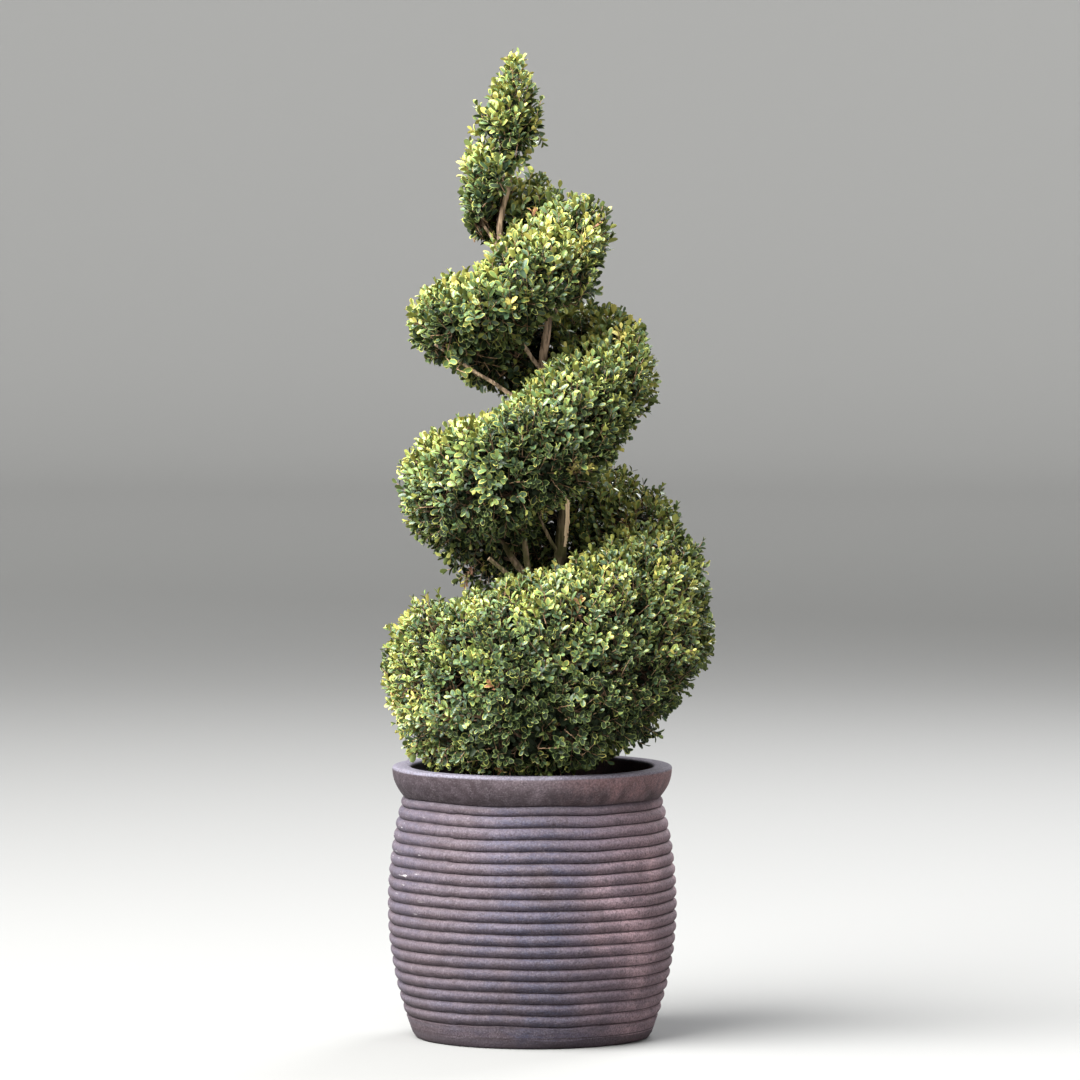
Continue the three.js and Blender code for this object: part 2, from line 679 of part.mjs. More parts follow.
function innerRadius(height) {
  return Math.min(barrelRadius(Math.max(height, FLOOR)) - RIB_DEPTH - WALL, RIM_INNER_R);
}

function innerHeight(step) {
  return lerp(FLOOR, POT_HEIGHT - LIP_HEIGHT, step / INNER_STEPS);
}

function pot() {
  const ribsTop = POT_HEIGHT - LIP_HEIGHT - TOP_RIB;
  const points = [[0, 0], [FOOT_R - FOOT_CHAMFER, 0], [FOOT_R, FOOT_CHAMFER]];
  const crevice = (height) => points.push([barrelRadius(height) - RIB_DEPTH, height]);
  for (let rib = 0; rib < RIB_COUNT; rib += 1) {
    const low = ribsTop - RIB_PITCH * (RIB_COUNT - rib);
    crevice(low);
    for (const share of [RIB_CREST_FROM, RIB_CREST_TO]) {
      points.push([barrelRadius(low + RIB_PITCH * share), low + RIB_PITCH * share]);
    }
  }
  crevice(ribsTop);
  points.push([NECK_R + RIB_DEPTH * TOP_RIB_DEPTH, ribsTop + TOP_RIB * TOP_RIB_CREST]);
  points.push([NECK_R, ribsTop + TOP_RIB]);
  const lipFoot = POT_HEIGHT - LIP_HEIGHT;
  points.push([RIM_OUTER_R - LIP_BULGE, lipFoot + LIP_HEIGHT * LIP_BULGE_FROM]);
  points.push([RIM_OUTER_R, lipFoot + LIP_HEIGHT * LIP_BULGE_TO]);
  points.push([RIM_OUTER_R, POT_HEIGHT - LIP_ROUND]);
  points.push([RIM_OUTER_R - LIP_ROUND * LIP_CORNER, POT_HEIGHT - LIP_ROUND * LIP_CORNER]);
  points.push([RIM_OUTER_R - LIP_ROUND, POT_HEIGHT]);
  points.push([RIM_INNER_R, POT_HEIGHT]);
  for (let step = INNER_STEPS; step >= 0; step -= 1) {
    points.push([innerRadius(innerHeight(step)), innerHeight(step)]);
  }
  points.push([0, FLOOR]);
  return mesh("pot", lathe(points), clay);
}

function soil() {
  const points = [[0, FLOOR + GAP]];
  for (let step = 0; step < INNER_STEPS; step += 1) {
    const height = innerHeight(step) + (step ? 0 : GAP);
    points.push([innerRadius(innerHeight(step)) - GAP * 2, height]);
  }
  points.push([innerRadius(POT_HEIGHT - LIP_HEIGHT) - GAP * 2, POT_HEIGHT - LIP_HEIGHT]);
  points.push([RIM_INNER_R - SOIL_EDGE, SOIL_LEVEL]);
  points.push([RIM_INNER_R * SOIL_FLAT, SOIL_LEVEL + SOIL_DOME]);
  points.push([0, SOIL_LEVEL + SOIL_DOME]);
  return mesh("soil", lathe(points), earth);
}

// Turns a profile of radii and heights about the upright axis.
function lathe(points) {
  const profile = points.map(([r, z]) => new THREE.Vector2(r, z));
  return new THREE.LatheGeometry(profile, POT_SEGMENTS).rotateX(Math.PI / 2);
}

const plant = new THREE.Group();
plant.add(pot(), soil());
plant.add(mesh("trunk", geometryOf(solidOf(trunkGeometry())), bark));
BOUGHS.forEach((bough, index) => {
  let solid = boughSolid(bough).subtract(trunkClearance);
  limbClearances.slice(0, index).forEach((earlier) => {
    solid = solid.subtract(earlier);
  });
  plant.add(mesh(bough.name, geometryOf(largestOf(solid)), bark));
});
const random = seededRandom(SEED);
for (let from = FIRST_TURN, index = 0; from < LAST_TURN; from += QUARTER, index += 1) {
  const side = QUARTER_NAMES[index % QUARTER_NAMES.length];
  const name = `coil_${Math.floor(index / QUARTER_NAMES.length) + 1}_${side}`;
  plant.add(quarterTurn(name, from, Math.min(from + QUARTER, LAST_TURN), random));
}
plant.add(crownTip("crown_tip", random));

export default plant;
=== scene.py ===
"""A clipped spiral boxwood in a ribbed planter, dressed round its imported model.

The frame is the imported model's own: +Z up, +X to the viewer's right, +Y away from the viewer.
Sizes are kept in millimetres, as a grower would give them, and every mesh is made in metres.
A turn angle is 0 at the front, 90 at the right, 180 at the back and 270 at the left.
"""

import logging
import math
from dataclasses import dataclass, field
from enum import Enum
from typing import ClassVar

import bpy
import numpy as np
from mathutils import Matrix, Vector, noise


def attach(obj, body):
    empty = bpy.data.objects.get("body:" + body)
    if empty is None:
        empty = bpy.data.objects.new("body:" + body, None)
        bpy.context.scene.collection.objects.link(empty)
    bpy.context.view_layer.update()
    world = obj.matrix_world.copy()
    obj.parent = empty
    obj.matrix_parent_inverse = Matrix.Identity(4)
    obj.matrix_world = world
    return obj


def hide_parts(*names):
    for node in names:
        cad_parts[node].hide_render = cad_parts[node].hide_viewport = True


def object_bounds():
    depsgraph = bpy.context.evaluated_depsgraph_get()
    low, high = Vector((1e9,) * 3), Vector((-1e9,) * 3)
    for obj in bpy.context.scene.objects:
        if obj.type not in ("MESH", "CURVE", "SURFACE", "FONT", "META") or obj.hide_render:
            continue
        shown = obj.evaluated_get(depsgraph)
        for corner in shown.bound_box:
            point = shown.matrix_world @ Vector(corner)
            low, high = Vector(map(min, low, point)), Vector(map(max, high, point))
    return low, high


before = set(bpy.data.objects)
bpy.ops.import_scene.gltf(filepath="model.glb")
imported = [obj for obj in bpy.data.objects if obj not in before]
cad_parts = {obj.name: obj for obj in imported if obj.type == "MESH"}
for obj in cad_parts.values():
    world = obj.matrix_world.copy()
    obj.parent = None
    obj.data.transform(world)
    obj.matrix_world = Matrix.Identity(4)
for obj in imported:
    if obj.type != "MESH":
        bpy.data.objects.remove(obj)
cad_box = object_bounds()

log = logging.getLogger("boxwood")
Array = np.ndarray
Piece = bpy.types.Object
Material = bpy.types.Material
Node = bpy.types.Node
Socket = bpy.types.NodeSocket
Three = tuple[float, float, float]
Colour = Three
Place = Three
Limits = tuple[float, float]
Pairs = tuple[Limits, ...]
Rows = dict[str, Array]
MM = 0.001
SOIL_TOP = 393.0
UP = np.array([0, 0, 1.0])
UPRIGHT = 0.9


def outwards(turn: Array) -> Array:
    """Gives the level unit vectors towards turn angles."""
    angle = np.radians(turn)
    return np.stack([np.sin(angle), -np.cos(angle), np.zeros_like(angle)], axis=-1)


def unit(vectors: Array) -> Array:
    """Gives vectors a length of one."""
    return vectors / np.maximum(np.linalg.norm(vectors, axis=-1, keepdims=True), 1e-9)


def mix(low: Array, high: Array, share: Array) -> Array:
    """Goes from one value to another by a share of the way, row by row."""
    return low + (high - low) * share


def within(value: Array, low: float, high: float) -> Array:
    """Tells how far values are from one limit to another, as shares from 0 to 1."""
    return np.clip((value - low) / (high - low), 0, 1)


def arc(start: Array, middle: Array, end: Array, share: Array) -> Array:
    """Finds places on a line that leaves for its middle and bends towards its end."""
    return (1 - share) ** 2 * start + 2 * share * (1 - share) * middle + share**2 * end


def turn_of(way: Array) -> Array:
    """Finds the turn angle of each level way."""
    return np.degrees(np.arctan2(way[:, 0], -way[:, 1]))


def lumps(points: Array, size: float) -> Array:
    """Gives a smooth chance value at each point."""
    return np.array([noise.noise(Vector(point / size)) for point in points])


@dataclass(frozen=True)
class Relief:
    """Smooth chance lumps of one width and height, moved aside and pressed flat or drawn out."""

    width: float
    height: float
    shift: float = 0
    press: float = 1

    def at(self, points: Array) -> Array:
        """Gives the lumps' height at points."""
        return lumps(points * [1, 1, self.press] + self.shift, self.width) * self.height


@dataclass(frozen=True)
class Trunk:
    """The trunk's line and thickness."""

    bends: tuple[Three, ...] = (
        (393.3, 16, 4),
        (560, 31, 8),
        (740, 43, 4),
        (833, 49, 0),
        (1025, 16, 0),
        (1135, 22, 6),
        (1229, -48, 0),
        (1336, -33, -2),
        (1478, -27, 0),
    )
    foot_radius: float = 17
    tip_radius: float = 2.2
    taper: float = 0.62
    flare: float = 12
    flare_height: float = 60
    bend_points: int = 40
    table: list[Array] = field(default_factory=list)

    @property
    def foot(self) -> float:
        """The height of the trunk's cut foot."""
        return self.bends[0][0]

    @property
    def top(self) -> float:
        """The height of the trunk's tip."""
        return self.bends[-1][0]

    def curve(self) -> Array:
        """Draws the trunk's middle line through its bends.

        Returns:
            Closely spaced points from the foot to the tip.
        """
        if self.table:
            return self.table[0]
        bends = np.array([(right, back, height) for height, right, back in self.bends], float)
        bends = np.vstack([2 * bends[0] - bends[1], bends, 2 * bends[-1] - bends[-2]])
        share = np.linspace(0, 1, self.bend_points)[:, None]
        pieces = []
        for before, start, end, after in zip(bends, bends[1:], bends[2:], bends[3:]):
            ends = ((before, start), (start, end), (end, after))
            gaps = [math.sqrt(math.dist(a, b)) for a, b in ends]
            first = (start - before) / gaps[0] - (end - before) / (gaps[0] + gaps[1])
            first = (first + (end - start) / gaps[1]) * gaps[1]
            last = (end - start) / gaps[1] - (after - start) / (gaps[1] + gaps[2])
            last = (last + (after - end) / gaps[2]) * gaps[1]
            square = 3 * (end - start) - 2 * first - last
            cube = 2 * (start - end) + first + last
            pieces.append(start + first * share + square * share**2 + cube * share**3)
        self.table.append(np.vstack(pieces))
        return self.table[0]

    def middle(self, height: Array) -> Array:
        """Finds the trunk's middle at heights, level with them.

        Args:
            height: heights above the ground.

        Returns:
            One point for each height.
        """
        height = np.asarray(height, float)
        line = self.curve()
        right = np.interp(height, line[:, 2], line[:, 0])
        back = np.interp(height, line[:, 2], line[:, 1])
        return np.stack([right, back, height], axis=-1)

    def radius(self, height: Array) -> Array:
        """Finds the trunk's radius at heights.

        Args:
            height: heights above the ground.

        Returns:
            One radius for each height.
        """
        share = within(height, self.foot, self.top)
        near = np.clip((height - self.foot) / self.flare_height, 0, 1)
        flare = self.flare * (1 - near**2 * (3 - 2 * near))
        return mix(self.foot_radius, self.tip_radius, share**self.taper) + flare


@dataclass(frozen=True)
class Bough:
    """One limb that leaves the trunk and rises to its tip in a mass of leaves.

    It starts at a height on the trunk, goes out and rises on a turn angle, and its bow is how far
    it bends outwards, as a share of its way out. Its foot stands some way inside the bark.
    """

    name: str
    start: float
    turn: float
    out: float
    rise: float
    foot_radius: float
    tip_radius: float
    bow: float
    rooted: ClassVar[float] = 0.2

    def line(self, trunk: Trunk, count: int) -> Array:
        """Draws the bough's middle line.

        Args:
            trunk: the trunk that it leaves.
            count: how many points to give.

        Returns:
            The points from its foot to its tip.
        """
        way = outwards(np.array(self.turn, float))
        centre = trunk.middle(np.array(self.start))
        foot = centre + way * trunk.radius(self.start) * self.rooted
        tip = centre + way * self.out + np.array([0, 0, self.rise])
        bent = (foot + tip) / 2 + way * self.bow * self.out
        return arc(foot, bent, tip, np.linspace(0, 1, count)[:, None])

    def radii(self, count: int) -> Array:
        """Gives the bough's radius at each point of its line."""
        return np.linspace(self.foot_radius, self.tip_radius, count)


TRUNK = Trunk()
SAWN_BOUGH = "bough_stub"
BOUGHS = (
    Bough("bough_front_2", 604, -66, 56, 236, 5, 4, 0.5),
    Bough(SAWN_BOUGH, 660, -70, 112, 82, 4, 3.2, 0.05),
    Bough("bough_twig_2", 744, -52, 46, 70, 3, 2.2, 0.1),
    Bough("bough_back_2", 560, 165, 84, 96, 7, 5, 0.2),
    Bough("bough_left_2", 668, 262, 84, 96, 6.5, 4.5, 0.2),
    Bough("bough_right_2", 872, 440, 74, 80, 6, 4.2, 0.2),
    Bough("bough_back_3", 930, 545, 66, 82, 5.5, 4, 0.2),
    Bough("bough_left_3", 954, 648, 186, 118, 3.9, 1.9, 0.02),
    Bough("bough_front_3", 1030, 655, 57, 118, 3.5, 2.4, 0.5),
    Bough("bough_right_3", 1108, 795, 38, 56, 3.8, 2.6, 0.1),
    Bough("bough_back_4", 1150, 890, 50, 62, 3.6, 2.6, 0.1),
    Bough("bough_left_4", 1204, 985, 40, 48, 3.2, 2.2, 0.1),
)


@dataclass(frozen=True)
class Band:
    """The helical band of foliage, as its clipped outline, with a station at every quarter turn."""

    low: tuple[float, ...] = (
        424, 426, 412, 500, 632, 742, 834, 940, 968, 1028, 1112, 1160, 1196, 1236, 1318,
    )
    high: tuple[float, ...] = (
        530, 656, 750, 812, 898, 944, 1040, 1120, 1144, 1178, 1238, 1300, 1332, 1382, 1372,
    )
    reach: tuple[float, ...] = (
        205, 254, 262, 268, 246, 210, 206, 201, 192, 181, 166, 138, 112, 92, 74,
    )
    first_station: float = -180
    quarter: float = 90
    axis_foot: float = 22
    axis_lean: float = 0.055
    axis_height: float = 540
    squareness: float = 0.85
    shoulder: float = 0.4
    inner_share: float = 0.8
    top_share: float = 0.6
    trunk_clearance: float = 8
    first_turn: float = -225
    last_turn: float = 1062

    def station(self, values: tuple[float, ...], turn: Array) -> Array:
        """Reads a size of the band on a smooth curve through its stations.

        Args:
            values: the size at each station.
            turn: turn angles in degrees.

        Returns:
            The size at each angle.
        """
        at = np.array(values, float)
        last = len(at) - 1
        place = np.clip((turn - self.first_station) / self.quarter, 0, last)
        index = np.minimum(np.floor(place), last - 1).astype(int)
        start, end = at[index], at[index + 1]
        before = (end - at[np.maximum(index - 1, 0)]) / 2
        after = (at[np.minimum(index + 2, last)] - start) / 2
        t = place - index
        smooth = 3 * t**2 - 2 * t**3
        leaving = (1 - smooth) * start + (t**3 - 2 * t**2 + t) * before
        return leaving + smooth * end + (t**3 - t**2) * after

    def section(self, turn: Array) -> tuple[Array, Array]:
        """Finds the section's middle height and half its own height at turn angles."""
        low, high = self.station(self.low, turn), self.station(self.high, turn)
        return (low + high) / 2, (high - low) / 2

    def outer(self, turn: Array, height: Array) -> Array:
        """Finds how far the band reaches from the trunk's middle.

        Args:
            turn: turn angles in degrees.
            height: heights above the ground.

        Returns:
            The reach at each angle and height.
        """
        trunk = TRUNK.middle(height)
        way = outwards(turn)
        axis = self.axis_foot - self.axis_lean * (height - self.axis_height)
        offset = (axis - trunk[..., 0]) * way[..., 0] - trunk[..., 1] * way[..., 1]
        return self.station(self.reach, turn) + offset

    def inner(self, height: Array, clearance: float) -> Array:
        """Finds how near the trunk's middle the band comes at heights."""
        return TRUNK.radius(height) + clearance

    def outline(self, across: Array) -> tuple[Array, Array]:
        """Draws the section: 0 is its outermost point and half a turn is at the trunk.

        Args:
            across: angles round the section, in radians.

        Returns:
            The shares of the way out and of the half height.
        """
        c, u = np.cos(across), np.sin(across)
        inward = np.abs(np.arctan2(u, c)) / (math.pi / 2) - 1
        past = np.clip(inward / self.top_share, 0, 1)
        end = self.inner_share * (1 - inward) / (1 - self.top_share)
        top = np.where(past < 1, mix(1, self.inner_share, past), end)
        swell = np.maximum(c, 0) ** self.squareness
        outer = self.shoulder + (1 - self.shoulder) * swell
        out = np.where(c >= 0, outer, self.shoulder * (1 - past))
        rise = np.where(c >= 0, np.abs(u) ** self.squareness, top)
        return out, np.sign(u) * rise

    def point(self, turn: Array, across: Array, fill: Array) -> Array:
        """Finds points of the band.

        Args:
            turn: turn angles in degrees.
            across: angles round the section, in radians.
            fill: 1 on the clipped outline and 0 at the section's middle.

        Returns:
            One point for each row.
        """
        middle, half = self.section(turn)
        out, rise = self.outline(across)
        height = middle + fill * half * rise
        inner = self.inner(height, self.trunk_clearance)
        outer = np.maximum(self.outer(turn, height), inner + 1)
        share = fill * out + (1 - fill) * self.shoulder
        return TRUNK.middle(height) + outwards(turn) * mix(inner, outer, share)[..., None]

    def normal(self, turn: Array, across: Array) -> Array:
        """Finds the way out of the clipped outline.

        Args:
            turn: turn angles in degrees.
            across: angles round the section, in radians.

        Returns:
            One unit vector for each row.
        """
        here = self.point(turn, across, 1.0)
        along = self.point(turn + 1, across, 1.0) - here
        round_it = self.point(turn, across + 0.02, 1.0) - here
        return unit(np.cross(along, round_it))

    def holds(self, points: Array, turn: Array, overhang: Array) -> Array:
        """Tests whether points lie in the band's space.

        Args:
            points: places in millimetres.
            turn: a turn angle near each point, which tells the coils apart.
            overhang: how far past the outline a point may stand.

        Returns:
            True for each point inside.
        """
        trunk = TRUNK.middle(points[:, 2])
        way = points - trunk
        distance = np.hypot(way[:, 0], way[:, 1])
        found = turn_of(way)
        found = found + 360 * np.round((turn - found) / 360)
        found = np.clip(found, self.first_turn, self.last_turn)
        middle, half = self.section(found)
        inner = self.inner(points[:, 2], self.trunk_clearance / 4)
        share = (distance - inner) / (self.outer(found, points[:, 2]) + overhang - inner)
        rise = np.abs(points[:, 2] - middle) / (half + overhang)
        beyond = np.maximum(share - self.shoulder, 0) / (1 - self.shoulder)
        power = 2 / self.squareness
        rounded = beyond**power + np.abs(rise) ** power < 1
        near = rise < mix(self.inner_share, 1, share / self.shoulder)
        return (share > 0) & np.where(share < self.shoulder, near, rounded)


@dataclass(frozen=True)
class Tip:
    """The spindle of foliage round the trunk's top."""

    height: float = 1524
    foot: float = 1363
    slant: float = 21
    low_turn: float = 50
    reach: float = 51
    widest: float = 0.36
    rounding: float = 0.4
    shift: float = -6
    droop: float = 0.9
    droop_height: float = 50

    def middle(self, height: Array) -> Array:
        """Finds the spindle's middle at heights.

        Args:
            height: heights above the ground.

        Returns:
            One point for each height.
        """
        share = (height - self.foot) / (self.height - self.foot)
        found = TRUNK.middle(np.minimum(height, TRUNK.top))
        found[..., 2] = height
        found[..., 0] += self.shift * (1 - share)
        return found

    def radius(self, height: Array) -> Array:
        """Finds the spindle's radius at heights.

        Args:
            height: heights above the ground.

        Returns:
            One radius for each height.
        """
        share = within(height, self.foot, self.height)
        below = 1 - ((self.widest - share) / self.widest) ** 2 * self.rounding
        above = 1 - (share - self.widest) / (1 - self.widest)
        return self.reach * np.sqrt(np.clip(np.where(share < self.widest, below, above), 0, 1))

    def underside(self, turn: Array) -> Array:
        """Finds the height of the spindle's slanting underside at turn angles."""
        return self.foot - self.slant * np.cos(np.radians(turn - self.low_turn))

    def holds(self, points: Array, overhang: Array) -> Array:
        """Tests whether points lie in the spindle's space.

        Args:
            points: places in millimetres.
            overhang: how far past the outline a point may stand.

        Returns:
            True for each point inside.
        """
        way = points - self.middle(points[:, 2])
        inside = np.hypot(way[:, 0], way[:, 1]) < self.radius(points[:, 2]) + overhang
        low = points[:, 2] > self.underside(turn_of(way)) - overhang
        return inside & low & (points[:, 2] < self.height + overhang)


@dataclass(frozen=True)
class Swell:
    """A place where the clipped outline stands out or lies back."""

    turn: float
    across: float
    radius: float
    push: float

    def at(self, points: Array) -> Array:
        """Finds how far this swell moves the outline.

        Args:
            points: places in millimetres.

        Returns:
            The push at each point.
        """
        centre = BAND.point(np.array(self.turn), np.array(math.radians(self.across)), 1.0)
        away = np.linalg.norm(points - centre, axis=1) / self.radius
        return self.push * np.clip(1 - away**2, 0, 1)


def new_material(name: str, roughness: float, gloss: float) -> tuple[Material, Node]:
    """Makes a material with a plain roughness and gloss.

    Args:
        name: the material's name.
        roughness: how matte it is.
        gloss: how strongly it shines.

    Returns:
        The material and its surface node.
    """
    made = bpy.data.materials.new(name)
    made.use_nodes = True
    surface = made.node_tree.nodes["Principled BSDF"]
    surface.inputs["Roughness"].default_value = roughness
    surface.inputs["Specular IOR Level"].default_value = gloss
    return made, surface


class Tint(Enum):
    """The plain colours of leaves and shoots, each with its roughness and its gloss."""

    # The darkest tint, dealt to shaded and inner shoots, is painted shade.
    DEEP = ((0.009, 0.017, 0.005), 0.60, 0.20)
    BLUE = ((0.034, 0.066, 0.031), 0.46, 0.52)
    MID = ((0.065, 0.110, 0.037), 0.44, 0.56)
    FRESH = ((0.114, 0.169, 0.045), 0.46, 0.56)
    LIME = ((0.178, 0.231, 0.059), 0.48, 0.54)
    YELLOW = ((0.480, 0.420, 0.120), 0.50, 0.50)
    BRONZE = ((0.300, 0.140, 0.075), 0.50, 0.50)
    UNDER_GREEN = ((0.096, 0.126, 0.034), 0.60, 0.30)
    UNDER_LIME = ((0.250, 0.260, 0.062), 0.60, 0.30)
    UNDER_YELLOW = ((0.435, 0.385, 0.100), 0.60, 0.30)
    SHOOT = ((0.270, 0.165, 0.090), 0.60, 0.40)
    TWIG = ((0.140, 0.084, 0.052), 0.80, 0.30)
    BRANCH = ((0.130, 0.088, 0.056), 0.85, 0.30)

    def material(self) -> Material:
        """Gives this colour's material, made the first time it is asked for.

        Returns:
            A material with this plain colour.
        """
        name = f"leaf_{self.name.lower()}"
        found = bpy.data.materials.get(name)
        if found:
            return found
        colour, roughness, gloss = self.value
        made, surface = new_material(name, roughness, gloss)
        surface.inputs["Base Color"].default_value = (*colour, 1)
        return made

    def slot(self) -> int:
        """Finds this tint's place among the materials of a mass's leaves or of its wood."""
        return (WOOD_TINTS if self in WOOD_TINTS else LEAF_TINTS).index(self)


UPPER_TINTS = (
    Tint.DEEP, Tint.BLUE, Tint.MID, Tint.FRESH, Tint.LIME, Tint.YELLOW, Tint.BRONZE,
)
UNDER_TINTS = (Tint.UNDER_GREEN, Tint.UNDER_LIME, Tint.UNDER_YELLOW)
LEAF_TINTS = UPPER_TINTS + UNDER_TINTS
WOOD_TINTS = (Tint.SHOOT, Tint.TWIG, Tint.BRANCH)


@dataclass(frozen=True)
class Sprig:
    """A single shoot that the clipping missed, with its own place and tint."""

    node: str
    end: Place
    way: Place
    turn: float
    tint: Tint
    length: float


BAND = Band()
TIP = Tip()
TIP_NODE = "crown_tip"
SPRIGS = (
    Sprig(TIP_NODE, (-92, -4, 1400), (-0.8, -0.1, 0.6), 270, Tint.LIME, 36),
    Sprig(TIP_NODE, (-27, -2, 1508), (0.1, -0.3, 1), 0, Tint.LIME, 40),
    Sprig(TIP_NODE, (-36, -6, 1505), (-0.3, -0.1, 1), 300, Tint.FRESH, 36),
    Sprig(TIP_NODE, (-18, 4, 1503), (0.3, 0, 1), 90, Tint.FRESH, 36),
    Sprig(TIP_NODE, (-40, -26, 1341), (-0.3, -0.75, -0.35), 340, Tint.MID, 24),
    Sprig(TIP_NODE, (-34, -26, 1363), (-0.1, -0.9, -0.1), 350, Tint.FRESH, 24),
    Sprig(TIP_NODE, (-47, -24, 1357), (-0.5, -0.8, -0.1), 320, Tint.MID, 24),
    Sprig(TIP_NODE, (-30, -27, 1353), (0.1, -0.9, -0.3), 0, Tint.BLUE, 24),
    Sprig(TIP_NODE, (-53, -18, 1346), (-0.7, -0.6, -0.3), 310, Tint.FRESH, 24),
    Sprig(TIP_NODE, (-22, -25, 1346), (0.3, -0.8, -0.25), 20, Tint.FRESH, 24),
    Sprig(TIP_NODE, (-8, -18, 1343), (0.8, -0.4, -0.4), 60, Tint.MID, 24),
    Sprig("coil_4_front", (-42, -34, 1322), (0.4, -0.8, -0.1), 1062, Tint.MID, 26),
    Sprig("coil_2_front", (64, -172, 896), (0.25, -0.8, 0.5), 383, Tint.YELLOW, 30),
    Sprig("coil_2_front", (82, -162, 888), (0.7, -0.7, 0.3), 388, Tint.YELLOW, 30),
    Sprig("coil_1_front", (-50, -150, 428), (-0.1, -0.8, -0.5), -20, Tint.BRONZE, 26),
    Sprig("coil_1_left", (-140, -70, 464), (-0.5, -0.8, 0.2), -62, Tint.MID, 30),
    Sprig("coil_1_left", (-148, -40, 456), (-0.6, -0.7, 0.3), -74, Tint.BLUE, 30),
    Sprig("coil_1_front", (20, -120, 562), (0.1, -0.9, 0.4), 8, Tint.MID, 30),
    Sprig("coil_1_front", (6, -100, 556), (-0.2, -0.9, 0.4), -2, Tint.BLUE, 30),
    Sprig("coil_3_left", (-128, -96, 1046), (0.2, -0.9, -0.3), 668, Tint.MID, 24),
    Sprig("coil_3_left", (-104, -92, 1030), (0.5, -0.8, -0.2), 672, Tint.FRESH, 24),
)
SWELLS = (
    Swell(66, -45, 110, -26),
    Swell(84, -8, 60, -10),
    Swell(128, 62, 120, 16),
    Swell(158, 76, 80, 18),
    Swell(-72, 50, 90, 18),
    Swell(-84, -20, 60, -14),
    Swell(-76, -58, 55, 14),
    Swell(252, -46, 60, -22),
    Swell(226, -66, 72, 22),
    Swell(322, 70, 90, -20),
    Swell(424, -38, 100, -15),
    Swell(608, -42, 90, -16),
    Swell(672, 66, 65, -26),
    Swell(786, -36, 70, -14),
    Swell(816, 42, 55, 20),
    Swell(870, 80, 60, 10),
    Swell(950, -58, 55, -20),
    Swell(982, 34, 30, -12),
    Swell(992, 64, 32, 10),
)


class Recipe:
    """Lays out the nodes of one material or of one node group."""

    def __init__(self, tree: bpy.types.NodeTree) -> None:
        """Starts on a node tree."""
        self.tree = tree

    def add(self, kind: str, settings: dict | None = None, **inputs: object) -> Node:
        """Adds a node.

        Args:
            kind: the node's type.
            settings: its own properties.
            inputs: a plain value or another node's output for each named input.

        Returns:
            The new node.
        """
        node = self.tree.nodes.new(kind)
        for name, value in (settings or {}).items():
            setattr(node, name, value)
        for name, value in inputs.items():
            self.feed(node, name.replace("_", " "), value)
        return node

    def feed(self, node: Node, name: str | int, value: object) -> None:
        """Sets one input of a node, or links it to an output.

        Args:
            node: the node.
            name: the input's name or number.
            value: a plain value or another node's output.
        """
        if isinstance(value, Socket):
            self.tree.links.new(value, node.inputs[name])
        else:
            node.inputs[name].default_value = value

    def math(self, operation: str, first: object, second: object = 0.0) -> Socket:
        """Adds a sum on two numbers.

        Args:
            operation: the kind of sum.
            first: its first number.
            second: its second number.

        Returns:
            Its result.
        """
        node = self.tree.nodes.new("ShaderNodeMath")
        node.operation = operation
        self.feed(node, 0, first)
        self.feed(node, 1, second)
        return node.outputs[0]

    def product(self, *factors: object) -> Socket:
        """Multiplies two or more numbers.

        Args:
            factors: the numbers.

        Returns:
            Their product.
        """
        result = self.math("MULTIPLY", factors[0], factors[1])
        for factor in factors[2:]:
            result = self.math("MULTIPLY", result, factor)
        return result

    def apart(self, value: object, other: object) -> Socket:
        """Gives how far apart two numbers are."""
        return self.math("ABSOLUTE", self.math("SUBTRACT", value, other))

    def blend(self, share: object, first: object, second: object) -> Socket:
        """Adds a mix of two colours.

        Args:
            share: the second colour's share.
            first: the first colour.
            second: the second colour.

        Returns:
            The mixed colour.
        """
        node = self.tree.nodes.new("ShaderNodeMix")
        node.data_type = "RGBA"
        share_in, first_in, second_in, result_out = 0, 6, 7, 2
        for index, value in ((share_in, share), (first_in, first), (second_in, second)):
            value = (*value, 1) if isinstance(value, tuple) else value
            self.feed(node, index, value)
        return node.outputs[result_out]

    def ramp(self, value: object, low: float, high: float) -> Socket:
        """Turns a number into a share from 0 to 1, which fills up softly between two limits.

        Args:
            value: the number.
            low: where the share is 0.
            high: where it is 1.

        Returns:
            The share.
        """
        node = self.tree.nodes.new("ShaderNodeMapRange")
        node.interpolation_type = "SMOOTHSTEP"
        for index, given in enumerate((value, low, high, 0.0, 1.0)):
            self.feed(node, index, given)
        return node.outputs[0]


class Effect(Enum):
    """Surface effects that several finishes share, each a node group, with its noise's detail."""

    BLOTCHES = ("blotches", 5.0)
    GRIT = ("grit", 2.0)

    def tree(self) -> bpy.types.NodeTree:
        """Gives this effect's node group, made the first time it is asked for.

        Returns:
            A group that takes a place, a size and limits, and gives a mask.
        """
        name, detail = self.value
        found = bpy.data.node_groups.get(name)
        if found:
            return found
        made = bpy.data.node_groups.new(name, "ShaderNodeTree")
        made.interface.new_socket("Place", in_out="INPUT", socket_type="NodeSocketVector")
        for limit in ("Scale", "Low", "High"):
            made.interface.new_socket(limit, in_out="INPUT", socket_type="NodeSocketFloat")
        made.interface.new_socket("Mask", in_out="OUTPUT", socket_type="NodeSocketFloat")
        recipe = Recipe(made)
        given = recipe.add("NodeGroupInput").outputs
        result = recipe.add("NodeGroupOutput")
        pattern = recipe.add(
            "ShaderNodeTexNoise", Vector=given["Place"], Scale=given["Scale"], Detail=detail
        )
        mask = recipe.ramp(pattern.outputs[0], given["Low"], given["High"])
        recipe.feed(result, "Mask", mask)
        return made


